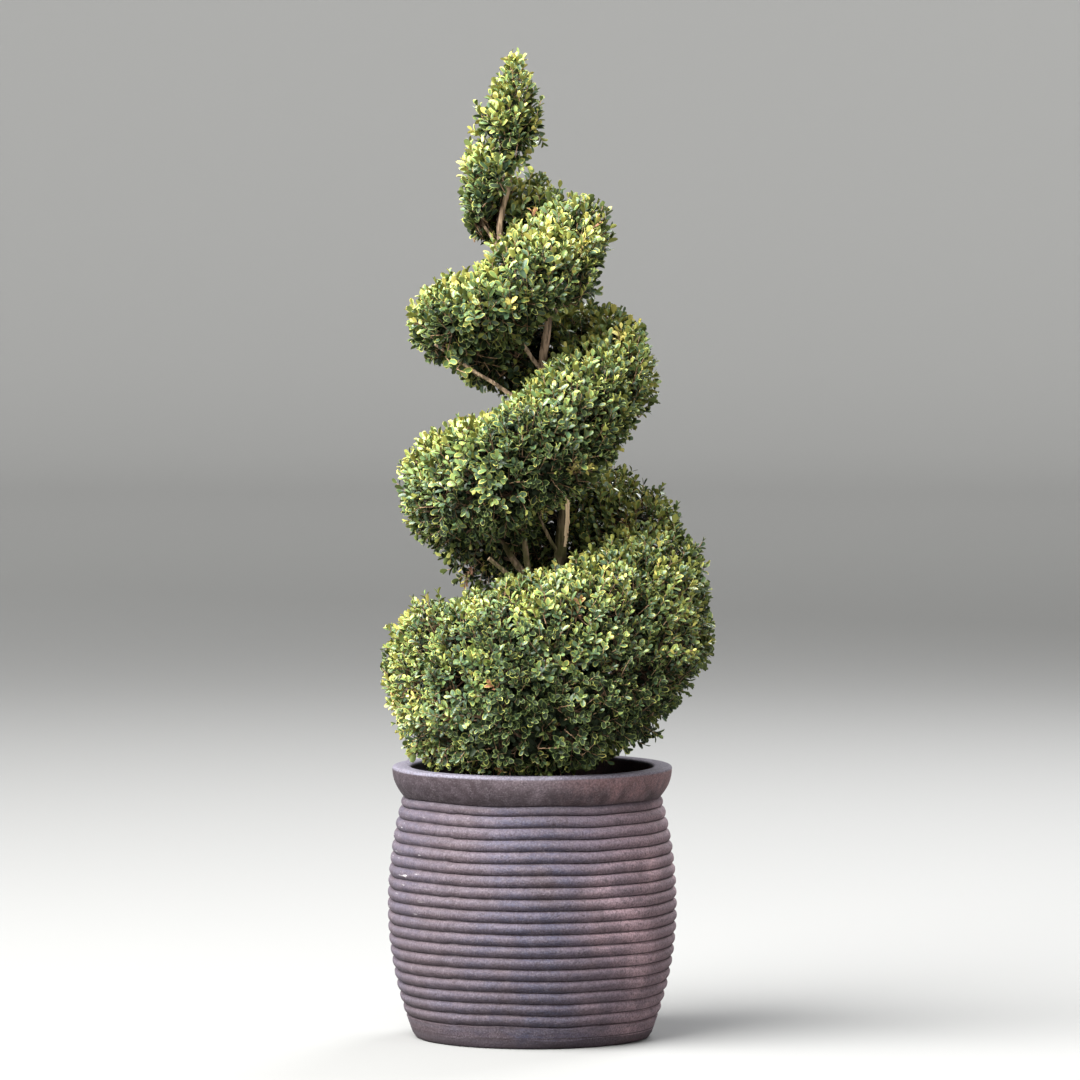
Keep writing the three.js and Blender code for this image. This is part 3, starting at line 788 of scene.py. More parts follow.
@dataclass(frozen=True)
class Pattern:
    """A shared effect at its own fineness, with the limits between which its mask fills up."""

    effect: Effect
    scale: float
    low: float
    high: float
    press: float = 1

    def mask(self, recipe: Recipe, place: object) -> Socket:
        """Puts the pattern in a material.

        Args:
            recipe: the material's recipe.
            place: the coordinates that it reads.

        Returns:
            The mask.
        """
        if self.press != 1:
            pressed = recipe.add("ShaderNodeMapping", Vector=place, Scale=(1, 1, self.press))
            place = pressed.outputs[0]
        node = recipe.tree.nodes.new("ShaderNodeGroup")
        node.node_tree = self.effect.tree()
        recipe.feed(node, "Place", place)
        for name, value in (("Scale", self.scale), ("Low", self.low), ("High", self.high)):
            recipe.feed(node, name, value)
        return node.outputs["Mask"]


class Coat:
    """The place, the axes and the colour of a surface, on which layers are laid."""

    def __init__(self, recipe: Recipe, place: Socket, colour: object) -> None:
        """Starts on a plain colour."""
        self.recipe, self.place, self.colour = recipe, place, colour
        self.axes = recipe.add("ShaderNodeSeparateXYZ", Vector=place).outputs

    def mask(self, pattern: Pattern) -> Socket:
        """Gives a pattern's mask on this surface."""
        return pattern.mask(self.recipe, self.place)

    def along(self, axis: str, limits: Limits) -> Socket:
        """Gives a mask that fills up along an axis, between two limits."""
        return self.recipe.ramp(self.axes[axis], *limits)

    def lay(self, colour: object, *masks: object, share: float) -> None:
        """Lays a colour over the surface by a share, where all the masks let it show."""
        self.colour = self.recipe.blend(self.recipe.product(*masks, share), self.colour, colour)


@dataclass(frozen=True)
class Finish:
    """What every finish of this object has: relief is its bump's strength and depth in metres."""

    name: str
    roughness: float
    relief: Limits
    gloss: ClassVar[float] = 0.2

    def start(self, colour: Colour) -> tuple[Material, Node, Coat]:
        """Starts the finish's material.

        Args:
            colour: its ground colour.

        Returns:
            The material, its surface and the coat for its layers.
        """
        made, surface = new_material(self.name, self.roughness, self.gloss)
        recipe = Recipe(made.node_tree)
        place = recipe.add("ShaderNodeTexCoord").outputs["Object"]
        return made, surface, Coat(recipe, place, colour)

    def close(self, surface: Node, coat: Coat, height: object) -> None:
        """Ends the finish's material.

        Args:
            surface: its surface.
            coat: its colour, with all layers.
            height: the relief that is too fine for the mesh.
        """
        recipe = coat.recipe
        recipe.feed(surface, "Base Color", coat.colour)
        strength, depth = self.relief
        bump = recipe.add("ShaderNodeBump", Strength=strength, Distance=depth, Height=height)
        recipe.feed(surface, "Normal", bump.outputs[0])


@dataclass(frozen=True)
class FiredClay(Finish):
    """Matte mauve-grey clay with bluish and brown patches, stains, pale scuffs, and painted light
    and shade.

    Heights and widths are in metres. A rib's own height goes from 0 at its top to 1 at its foot.
    """

    name: str = "fired_clay"
    roughness: float = 0.82
    relief: Limits = (0.55, 0.0007)
    mauve: Colour = (0.045, 0.032, 0.038)
    pink: Colour = (0.066, 0.047, 0.057)
    blue: Colour = (0.038, 0.036, 0.059)
    # brown: the right side's real reddish-brown, laid lighter than the clay as painted light on the
    # shaded side.
    brown: Colour = (0.267, 0.177, 0.198)
    lip: Colour = (0.088, 0.066, 0.074)
    lip_brown: Colour = (0.160, 0.091, 0.093)
    # The lip's darker colour at its left is painted shade.
    lip_dark: Colour = (0.020, 0.013, 0.016)
    # The edge colour is a painted highlight, on the rim's upper edge and on each rib's upper part.
    edge: Colour = (0.125, 0.120, 0.155)
    pale: Colour = (0.125, 0.100, 0.118)
    # Real dirt in stains, specks and pits, and also painted shade in the creases and under the lip.
    dirt: Colour = (0.024, 0.017, 0.020)
    scuff: Colour = (0.480, 0.460, 0.470)
    bluish: Pattern = Pattern(Effect.BLOTCHES, 7.0, 0.36, 0.64, 1.5)
    bluer: Pattern = Pattern(Effect.BLOTCHES, 17.0, 0.30, 0.60)
    streaks: Pattern = Pattern(Effect.BLOTCHES, 26.0, 0.42, 0.60, 5)
    browns: Pattern = Pattern(Effect.BLOTCHES, 11.0, 0.46, 0.74)
    stains: Pattern = Pattern(Effect.BLOTCHES, 30.0, 0.40, 0.62, 0.3)
    scuffs: Pattern = Pattern(Effect.GRIT, 34.0, 0.63, 0.70, 7)
    mottle: Pattern = Pattern(Effect.BLOTCHES, 75.0, 0.42, 0.62)
    grains: Pattern = Pattern(Effect.GRIT, 420.0, 0.52, 0.70)
    speckle: Pattern = Pattern(Effect.GRIT, 330.0, 0.38, 0.62)
    pits: Pattern = Pattern(Effect.GRIT, 150.0, 0.60, 0.68)
    lip_foot: float = 0.374
    lip_line: float = 0.001
    lip_shadow: Limits = (0.016, 0.0)
    lip_left: Limits = (-0.10, 0.0)
    lip_right: Limits = (0.0, 0.13)
    lip_stained: Limits = (0.412, 0.386)
    lip_top: Limits = (0.414, 0.417)
    least_stain: float = 0.25
    ribs_top: float = 0.359
    pitch: float = 0.018
    rib_middle: float = 0.5
    rib_crease: Limits = (0.425, 0.49)
    rib_crest: Limits = (0.34, 0.2)
    worn_middle: float = 0.34
    worn_width: Limits = (0.26, 0.04)
    blue_middle: float = 0.03
    blue_width: Limits = (0.16, 0.05)
    blue_front: Limits = (0.0, -0.08)
    brown_right: Limits = (0.02, 0.21)
    least_brown: float = 0.55
    scuffed_left: Limits = (-0.155, -0.19)
    scuffed_above: Limits = (0.17, 0.24)
    bore: float = 0.1875
    speckle_height: float = 0.5

    def material(self) -> Material:
        """Makes the material.

        Returns:
            The finish, for the whole planter.
        """
        made, surface, coat = self.start(self.mauve)
        self.lay_patches(coat)
        self.lay_lip(coat)
        self.lay_wear(coat)
        self.close(surface, coat, self.lay_grain(coat))
        return made

    def lay_patches(self, coat: Coat) -> None:
        """Lays the large patches: bluish in front, pink in streaks and brown at the right, which is
        laid lighter as painted light on the shaded side.

        Args:
            coat: the clay's coat.
        """
        recipe = coat.recipe
        coat.lay(self.blue, coat.mask(self.bluish), share=0.6)
        away = recipe.apart(coat.axes["X"], self.blue_middle)
        central = recipe.product(coat.mask(self.bluer), recipe.ramp(away, *self.blue_width))
        coat.lay(self.blue, central, coat.along("Y", self.blue_front), share=0.9)
        coat.lay(self.pink, coat.mask(self.streaks), share=0.35)
        # Painted light: the brown at the right is lighter than the clay and lifts the shaded side.
        browns = recipe.math("ADD", coat.mask(self.browns), self.least_brown)
        browns = recipe.product(browns, coat.along("X", self.brown_right))
        coat.lay(self.brown, recipe.math("MINIMUM", browns, 1.0), share=1.0)

    def lay_lip(self, coat: Coat) -> None:
        """Lays the lip's own colour with painted shade on its left, its hanging stains and a
        painted highlight along its upper edge.

        Args:
            coat: the clay's coat.
        """
        recipe = coat.recipe
        on_lip = coat.along("Z", (self.lip_foot - self.lip_line, self.lip_foot + self.lip_line))
        # Painted shade: the lip darkens towards its left.
        lip = recipe.blend(coat.along("X", self.lip_left), self.lip_dark, self.lip)
        lip = recipe.blend(coat.along("X", self.lip_right), lip, self.lip_brown)
        coat.lay(lip, on_lip, share=0.86)
        lower = recipe.math("ADD", coat.along("Z", self.lip_stained), self.least_stain)
        coat.lay(self.dirt, coat.mask(self.stains), on_lip, lower, share=0.6)
        # Painted highlight along the rim's upper edge.
        coat.lay(self.edge, coat.along("Z", self.lip_top), share=0.85)

    def lay_wear(self, coat: Coat) -> None:
        """Lays painted shade in the creases and under the lip, a painted highlight on each rib's
        upper part and the scuffs at the left.

        Args:
            coat: the clay's coat.
        """
        recipe = coat.recipe
        steps = recipe.math("SUBTRACT", self.ribs_top, coat.axes["Z"])
        rib = recipe.math("FRACT", recipe.math("DIVIDE", steps, self.pitch))
        aside = recipe.apart(rib, self.rib_middle)
        ribbed = coat.along("Z", (self.lip_foot + self.lip_line, self.lip_foot - self.lip_line))
        # Painted shade in the crease between each pair of ribs.
        coat.lay(self.dirt, recipe.ramp(aside, *self.rib_crease), ribbed, share=0.82)
        from_lip = recipe.apart(coat.axes["Z"], self.lip_foot)
        # Painted shadow under the lip.
        coat.lay(self.dirt, recipe.ramp(from_lip, *self.lip_shadow), share=0.5)
        # Painted highlight on the upper part of each rib, which faces the light.
        worn = recipe.ramp(recipe.apart(rib, self.worn_middle), *self.worn_width)
        coat.lay(self.edge, worn, ribbed, share=0.14)
        left = recipe.product(
            coat.along("X", self.scuffed_left), coat.along("Z", self.scuffed_above), ribbed
        )
        crest = recipe.ramp(aside, *self.rib_crest)
        coat.lay(self.scuff, coat.mask(self.scuffs), left, crest, share=0.6)

    def lay_grain(self, coat: Coat) -> Socket:
        """Lays the clay's mottling, its grains and pits, and the darkening inside the planter.

        Args:
            coat: the clay's coat.

        Returns:
            The relief of the specks and the pits.
        """
        recipe = coat.recipe
        coat.lay(self.pale, coat.mask(self.mottle), share=0.17)
        coat.lay(self.scuff, coat.mask(self.grains), share=0.06)
        speckle, pits = coat.mask(self.speckle), coat.mask(self.pits)
        coat.lay(self.dirt, speckle, share=0.42)
        coat.lay(self.dirt, pits, share=0.35)
        across, deep = (recipe.product(coat.axes[axis], coat.axes[axis]) for axis in "XY")
        distance = recipe.math("SQRT", recipe.math("ADD", across, deep))
        coat.lay(self.dirt, recipe.math("LESS_THAN", distance, self.bore), share=0.55)
        return recipe.math("SUBTRACT", recipe.product(speckle, self.speckle_height), pits)


@dataclass(frozen=True)
class Compost(Finish):
    """Moist dark potting compost."""

    name: str = "compost"
    roughness: float = 0.95
    relief: Limits = (0.9, 0.002)
    dark: Colour = (0.016, 0.011, 0.008)
    light: Colour = (0.075, 0.050, 0.032)
    crumbly: Pattern = Pattern(Effect.BLOTCHES, 90.0, 0.40, 0.70)
    grit: Pattern = Pattern(Effect.GRIT, 420.0, 0.35, 0.65)

    def material(self) -> Material:
        """Makes the material.

        Returns:
            The finish, for the bed and for its crumbs.
        """
        made, surface, coat = self.start(self.dark)
        coat.lay(self.light, coat.mask(self.crumbly), share=1.0)
        self.close(surface, coat, coat.mask(self.grit))
        return made


@dataclass(frozen=True)
class Bark(Finish):
    """Furrowed bark: mossy olive-brown low down, tan higher up. Heights are in metres."""

    name: str = "bark"
    roughness: float = 0.9
    relief: Limits = (0.7, 0.0009)
    furrow: Colour = (0.030, 0.022, 0.013)
    ridge: Colour = (0.150, 0.112, 0.066)
    high: Colour = (0.400, 0.280, 0.190)
    moss: Colour = (0.070, 0.074, 0.022)
    lines: Pattern = Pattern(Effect.BLOTCHES, 210.0, 0.56, 0.40, 0.16)
    mossy: Pattern = Pattern(Effect.BLOTCHES, 55.0, 0.40, 0.56)
    fine: Pattern = Pattern(Effect.GRIT, 600.0, 0.35, 0.65, 0.16)
    paler_above: Limits = (0.84, 1.02)
    mossy_below: Limits = (0.83, 0.74)
    fine_height: float = 0.4

    def material(self) -> Material:
        """Makes the material.

        Returns:
            The finish, for the trunk or for the boughs.
        """
        made, surface, coat = self.start(self.ridge)
        lines = coat.mask(self.lines)
        coat.lay(self.high, coat.along("Z", self.paler_above), share=1.0)
        coat.lay(self.furrow, lines, share=0.72)
        coat.lay(self.moss, coat.along("Z", self.mossy_below), coat.mask(self.mossy), share=0.7)
        fine = coat.recipe.product(coat.mask(self.fine), self.fine_height)
        self.close(surface, coat, coat.recipe.math("SUBTRACT", fine, lines))
        return made


@dataclass(frozen=True)
class BareWood(Finish):
    """Pale cream wood, where bark has been torn off or a limb was sawn."""

    name: str = "bare_wood"
    roughness: float = 0.7
    relief: Limits = (0.5, 0.0005)
    cream: Colour = (0.700, 0.520, 0.330)
    tan: Colour = (0.420, 0.270, 0.150)
    fibres: Pattern = Pattern(Effect.BLOTCHES, 420.0, 0.48, 0.68, 0.06)

    def material(self) -> Material:
        """Makes the material.

        Returns:
            The finish, for the tear and for the sawn end.
        """
        made, surface, coat = self.start(self.cream)
        lines = coat.mask(self.fibres)
        coat.lay(self.tan, lines, share=1.0)
        self.close(surface, coat, lines)
        return made


def shown(name: str, vertices: Array, faces: list[Array], slots: Array | None = None) -> Piece:
    """Makes one object of joined small shapes.

    Args:
        name: the object's name.
        vertices: places in millimetres.
        faces: arrays of faces, each array with one number of corners.
        slots: the material slot of each face, in the order of the faces.

    Returns:
        The new object, in metres and shaded smooth.
    """
    mesh = bpy.data.meshes.new(name)
    corners = np.concatenate([array.ravel() for array in faces]).astype(np.int32)
    sizes = np.concatenate([np.full(len(array), array.shape[1]) for array in faces])
    starts = np.concatenate([[0], np.cumsum(sizes)[:-1]]).astype(np.int32)
    mesh.vertices.add(len(vertices))
    mesh.vertices.foreach_set("co", (vertices * MM).astype(np.float32).ravel())
    mesh.loops.add(len(corners))
    mesh.loops.foreach_set("vertex_index", corners)
    mesh.polygons.add(len(sizes))
    mesh.polygons.foreach_set("loop_start", starts)
    mesh.polygons.foreach_set("use_smooth", np.ones(len(sizes), bool))
    if slots is not None:
        mesh.polygons.foreach_set("material_index", slots.astype(np.int32))
    mesh.update(calc_edges=True)
    mesh.validate()
    made = bpy.data.objects.new(name, mesh)
    bpy.context.scene.collection.objects.link(made)
    return made


def dress(piece: Piece, materials: list, nodes: tuple[str, ...]) -> None:
    """Gives a piece its finishes, its body and the nodes that it stands for.

    Args:
        piece: the finished object.
        materials: the materials in the order of the piece's slots.
        nodes: the solids that it replaces.
    """
    for material in materials:
        piece.data.materials.append(material)
    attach(piece, "root")
    if nodes:
        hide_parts(*nodes)
    triangles = sum(len(polygon.vertices) - 2 for polygon in piece.data.polygons)
    log.info("%s: %d triangles", piece.name, triangles)


def deselect() -> None:
    """Leaves nothing selected."""
    if bpy.context.object and bpy.context.object.mode != "OBJECT":
        bpy.ops.object.mode_set(mode="OBJECT")
    bpy.ops.object.select_all(action="DESELECT")


def read(piece: Piece, what: str) -> Array:
    """Reads every vertex's place in metres or its normal.

    Args:
        piece: the object.
        what: co for the places, or normal.

    Returns:
        One row for each vertex.
    """
    values = np.zeros(len(piece.data.vertices) * 3, np.float32)
    piece.data.vertices.foreach_get(what, values)
    return values.reshape(-1, 3).astype(float)


def move(piece: Piece, place: Array) -> None:
    """Moves every vertex of a piece to its place in millimetres."""
    piece.data.vertices.foreach_set("co", (place * MM).astype(np.float32).ravel())
    piece.data.update()


def turned(
    name: str, profile: list[Limits], steps: int, merge: float = 0.02, sharp: float = 40
) -> Piece:
    """Turns a profile about the upright axis, as on a wheel.

    Args:
        name: the new object's name.
        profile: radii and heights in millimetres, from axis to axis.
        steps: how many steps the turn has.
        merge: how near two vertices become one, in millimetres.
        sharp: the angle in degrees from which an edge stays sharp.

    Returns:
        The closed, smooth object.
    """
    deselect()
    bpy.ops.mesh.primitive_plane_add(size=0.01)
    piece = bpy.context.object
    piece.name = piece.data.name = name
    bpy.ops.object.mode_set(mode="EDIT")
    bpy.ops.mesh.merge(type="CENTER")
    points = [Vector((radius * MM, 0, height * MM)) for radius, height in profile]
    bpy.ops.transform.translate(value=points[0])
    for start, end in zip(points, points[1:]):
        bpy.ops.mesh.extrude_region_move(TRANSFORM_OT_translate={"value": end - start})
    bpy.ops.mesh.select_all(action="SELECT")
    bpy.ops.mesh.spin(steps=steps, angle=math.tau, center=(0, 0, 0), axis=(0, 0, 1))
    close_up(merge, sharp)
    return piece


def close_up(merge: float, sharp: float) -> None:
    """Joins the vertices of the piece in edit mode, turns its normals outwards and smooths it.

    Args:
        merge: how near two vertices become one, in millimetres.
        sharp: the angle in degrees from which an edge stays sharp.
    """
    bpy.ops.mesh.select_all(action="SELECT")
    bpy.ops.mesh.remove_doubles(threshold=merge * MM)
    bpy.ops.mesh.normals_make_consistent(inside=False)
    bpy.ops.object.mode_set(mode="OBJECT")
    bpy.ops.object.shade_smooth_by_angle(angle=math.radians(sharp))


@dataclass
class Planter:
    """The barrel-shaped planter with its rounded ribs and flared lip."""

    height: float = 420
    rim_outer: float = 216
    rim_inner: float = 186
    rim_round: float = 4.5
    rim_fall: float = 6
    rim_crown: Limits = (16, 0.4)
    round_step: int = 18
    lip_height: float = 46
    lip_power: float = 2.4
    lip_shares: tuple[float, ...] = (0, 0.04, 0.10, 0.18, 0.28, 0.40, 0.54, 0.68, 0.80)
    neck: float = 198.5
    neck_crest: float = 200.5
    belly: float = 223.6
    belly_height: float = 204
    foot: float = 183
    foot_flat: float = 90
    foot_edge: Pairs = ((6, 0), (2.5, 1.2), (0.6, 4))
    skirt: tuple[float, ...] = (8, 14, 20)
    skirt_end: Limits = (4, 1.5)
    skirt_sunk: float = 1.2
    pitch: float = 18
    ribs: int = 18
    depth: float = 5.2
    top_rib: float = 15
    rib_shares: tuple[float, ...] = (
        0, 0.03, 0.09, 0.18, 0.30, 0.43, 0.56, 0.69, 0.80, 0.90, 0.965,
    )
    rib_powers: Limits = (2.1, 2.8)
    wall: float = 16
    floor: float = 28
    inner_heights: tuple[float, ...] = (400, 385, 360, 250, 140, 60)
    steps: int = 240
    worn_beyond: float = 150
    worn_above: float = 8
    uneven: tuple[Relief, ...] = (Relief(60, 0.7), Relief(17, 0.35))
    sag: Relief = Relief(90, 2.4, press=0.4)
    sag_gap: float = 12
    chips: int = 46
    rim_chip: int = 6
    rim_chip_drop: float = 2
    chip_crest: float = 0.4
    chip_press: float = 1.7
    chip_size: Limits = (5, 11)
    chip_depth: Limits = (0.8, 2.4)
    chip_fall: float = 0.3
    seams: Limits = (-37, 143)
    seam_crest: float = 0.1
    seam_height: float = 8
    seam_width: float = 5
    seam_edge: float = 1.5
    seam_step: float = 1.6
    seam_dent_width: float = 2.2
    seam_dent_depth: float = 2.2
    seed: int = 5

    def lip_foot(self) -> float:
        """Finds the height where the lip starts."""
        return self.height - self.lip_height

    def barrel(self, height: float) -> float:
        """Finds the radius at the ribs' crests at a height.

        Args:
            height: the height above the ground.

        Returns:
            The radius, which is largest at the belly.
        """
        above = height > self.belly_height
        end = self.lip_foot() if above else 0
        radius = self.neck_crest if above else self.foot
        share = (height - self.belly_height) / (end - self.belly_height)
        return mix(self.belly, radius, share * share)

    def profile(self) -> list[Limits]:
        """Draws the planter's section.

        Returns:
            Radii and heights from the middle of the underside to the middle of the floor.
        """
        ribs_top = self.lip_foot() - self.top_rib
        first = ribs_top - self.pitch * self.ribs
        points = [(0, 0), (self.foot_flat, 0)]
        points += [(self.foot - inset, height) for inset, height in self.foot_edge]
        skirt = (*self.skirt, *(first - gap for gap in self.skirt_end))
        points += [(self.barrel(height) - self.skirt_sunk, height) for height in skirt]
        for rib in range(self.ribs):
            points += self.rib(first + self.pitch * rib, self.pitch)
        points += self.rib(ribs_top, self.top_rib) + self.lip() + self.rim()
        for height in (*self.inner_heights, self.floor):
            inner = self.barrel(min(height, ribs_top)) - self.depth - self.wall
            points.append((min(inner, self.rim_inner), height))
        points.append((0, self.floor))
        return points

    def lip(self) -> list[Limits]:
        """Draws the lip's flare, from its foot to its round upper edge.

        Returns:
            Radii and heights.
        """
        points = []
        for share in self.lip_shares:
            out = max(1 - share, 0) ** self.lip_power
            height = self.lip_foot() + self.lip_height * share
            points.append((self.rim_outer - (self.rim_outer - self.neck) * out, height))
        return points

    def rim(self) -> list[Limits]:
        """Draws the rim, over its outer edge, its crown and its inner edge.

        Returns:
            Radii and heights.
        """
        points = []
        turns = [math.radians(angle) for angle in range(0, 91, self.round_step)]
        for turn in turns:
            out = self.rim_outer - self.rim_round * (1 - math.cos(turn))
            points.append((out, self.height - self.rim_round * (1 - math.sin(turn))))
        inset, rise = self.rim_crown
        points.append((self.rim_outer - inset, self.height + rise))
        fall = self.rim_fall
        for turn in reversed(turns):
            out = self.rim_inner + fall - fall * math.cos(turn)
            points.append((out, self.height - fall + fall * math.sin(turn)))
        return points

    def rib(self, low: float, pitch: float) -> list[Limits]:
        """Draws one rounded rib, from the crevice below it up to its top.

        Args:
            low: the height of that crevice.
            pitch: the rib's height.

        Returns:
            Radii and heights.
        """
        points = []
        for share in self.rib_shares:
            power = self.rib_powers[share >= 0.5]
            height = low + pitch * share
            sunk = self.depth * abs(2 * share - 1) ** power
            points.append((self.barrel(height) - sunk, height))
        return points

    def wear(self, piece: Piece) -> None:
        """Gives the turned planter its uneven hand-made surface and small chips.

        Args:
            piece: the turned planter.
        """
        place = read(piece, "co") / MM
        radius = np.hypot(place[:, 0], place[:, 1])
        outside = (radius > self.worn_beyond) & (place[:, 2] > self.worn_above)
        out = place * [1, 1, 0] / np.maximum(radius, 1)[:, None]
        uneven = sum(relief.at(place[outside]) for relief in self.uneven)
        place[outside] += out[outside] * uneven[:, None]
        sag = self.sag.at(place[outside])
        place[outside, 2] += sag * (place[outside, 2] < self.height - self.sag_gap)
        random = np.random.default_rng(self.seed)
        self.seam(place, random)
        crests = self.lip_foot() - self.top_rib - self.pitch * np.arange(self.chip_crest, self.ribs)
        for index in range(self.chips):
            turn = random.uniform(-180, 180)
            on_rim = index % self.rim_chip == 0
            height = self.height - self.rim_chip_drop if on_rim else random.choice(crests)
            reach = self.rim_outer if on_rim else self.barrel(height)
            centre = outwards(np.array(turn)) * reach + [0, 0, height]
            away = np.linalg.norm((place - centre) * [1, 1, self.chip_press], axis=1)
            size = random.uniform(*self.chip_size)
            dent = np.clip(1 - away / size, 0, 1) * random.uniform(*self.chip_depth)
            place -= (out + [0, 0, self.chip_fall]) * dent[:, None] * outside[:, None]
        move(piece, place)

    def seam(self, place: Array, random: np.random.Generator) -> None:
        """Steps and dents each rib where the two halves of the mould met.

        Args:
            place: the planter's vertices in millimetres, which are moved.
            random: the source of chance.
        """
        turn = turn_of(place)
        for middle in self.seams:
            away = (turn - middle + 180) % 360 - 180
            for rib in range(self.ribs + 1):
                height = self.lip_foot() - self.top_rib - self.pitch * (rib + self.seam_crest)
                near = np.exp(-(((place[:, 2] - height) / self.seam_height) ** 2))
                near *= np.exp(-((away / self.seam_width) ** 2))
                near *= np.hypot(place[:, 0], place[:, 1]) > self.foot
                side = np.tanh(away / self.seam_edge)
                place[:, 2] += near * side * random.uniform(-self.seam_step, self.seam_step)
                sink = near * np.exp(-((away / self.seam_dent_width) ** 2))
                sink *= random.uniform(0, self.seam_dent_depth)
                place[:, :2] *= (1 - sink / self.belly)[:, None]

    def build(self) -> None:
        """Models and dresses the planter."""
        piece = turned("planter", self.profile(), self.steps)
        self.wear(piece)
        dress(piece, [FiredClay().material()], ("pot",))


@dataclass
class SoilFill:
    """The compost in the planter, with its crumbs."""

    level: float = 388
    dome: float = 5
    edge: float = 182
    depth: float = 30
    rings: int = 46
    steps: int = 120
    uneven: tuple[Relief, ...] = (Relief(26, 2.2), Relief(7, 1.6))
    settled: float = 1.5
    side_gap: float = 2
    crumbs: int = 420
    crumb_area: Limits = (0.02, 0.93)
    crumb_size: Limits = (1.5, 5.5)
    crumb_slimness: Limits = (0.4, 1)
    crumb_roughness: Limits = (0.75, 1.25)
    crumb_rise: float = 0.5
    seed: int = 9

    def top(self, radius: Array) -> Array:
        """Finds the height of the domed top at radii."""
        return self.level + self.dome * (1 - (radius / self.edge) ** 3)

    def bed(self) -> Piece:
        """Models the domed top of the compost.

        Returns:
            The closed bed.
        """
        across = np.linspace(0, self.edge, self.rings)
        below = [(self.edge, self.level - self.depth), (0, self.level - self.depth)]
        profile = [(float(radius), float(self.top(radius))) for radius in across] + below
        piece = turned("compost_bed", profile, self.steps)
        place = read(piece, "co") / MM
        top = place[:, 2] > self.level - self.side_gap
        uneven = sum(relief.at(place[top]) for relief in self.uneven)
        place[top, 2] += uneven - self.settled
        move(piece, place)
        return piece

    def litter(self) -> Piece:
        """Models the crumbs of bark and peat that lie on the bed.

        Returns:
            All the crumbs as one object.
        """
        deselect()
        bpy.ops.mesh.primitive_ico_sphere_add(subdivisions=1, radius=1)
        pattern = bpy.context.object
        shape = np.array([vertex.co for vertex in pattern.data.vertices])
        faces = np.array([polygon.vertices for polygon in pattern.data.polygons])
        bpy.data.objects.remove(pattern)
        count = self.crumbs
        random = np.random.default_rng(self.seed)
        radius = self.edge * np.sqrt(random.uniform(*self.crumb_area, count))
        place = outwards(random.uniform(0, 360, count)) * radius[:, None]
        place[:, 2] = self.top(radius) + self.crumb_rise
        size = random.uniform(*self.crumb_size, (count, 1, 1))
        size = size * random.uniform(*self.crumb_slimness, (count, 1, 3))
        uneven = random.uniform(*self.crumb_roughness, (count, len(shape), 3))
        points = shape[None] * size * uneven + place[:, None]
        shift = np.arange(count)[:, None, None] * len(shape)
        faces = (faces[None] + shift).reshape(-1, 3)
        return shown("compost_crumbs", points.reshape(-1, 3), [faces])

    def build(self) -> None:
        """Models and dresses the compost."""
        finish = Compost().material()
        dress(self.bed(), [finish], ("soil",))
        dress(self.litter(), [finish], ("soil",))


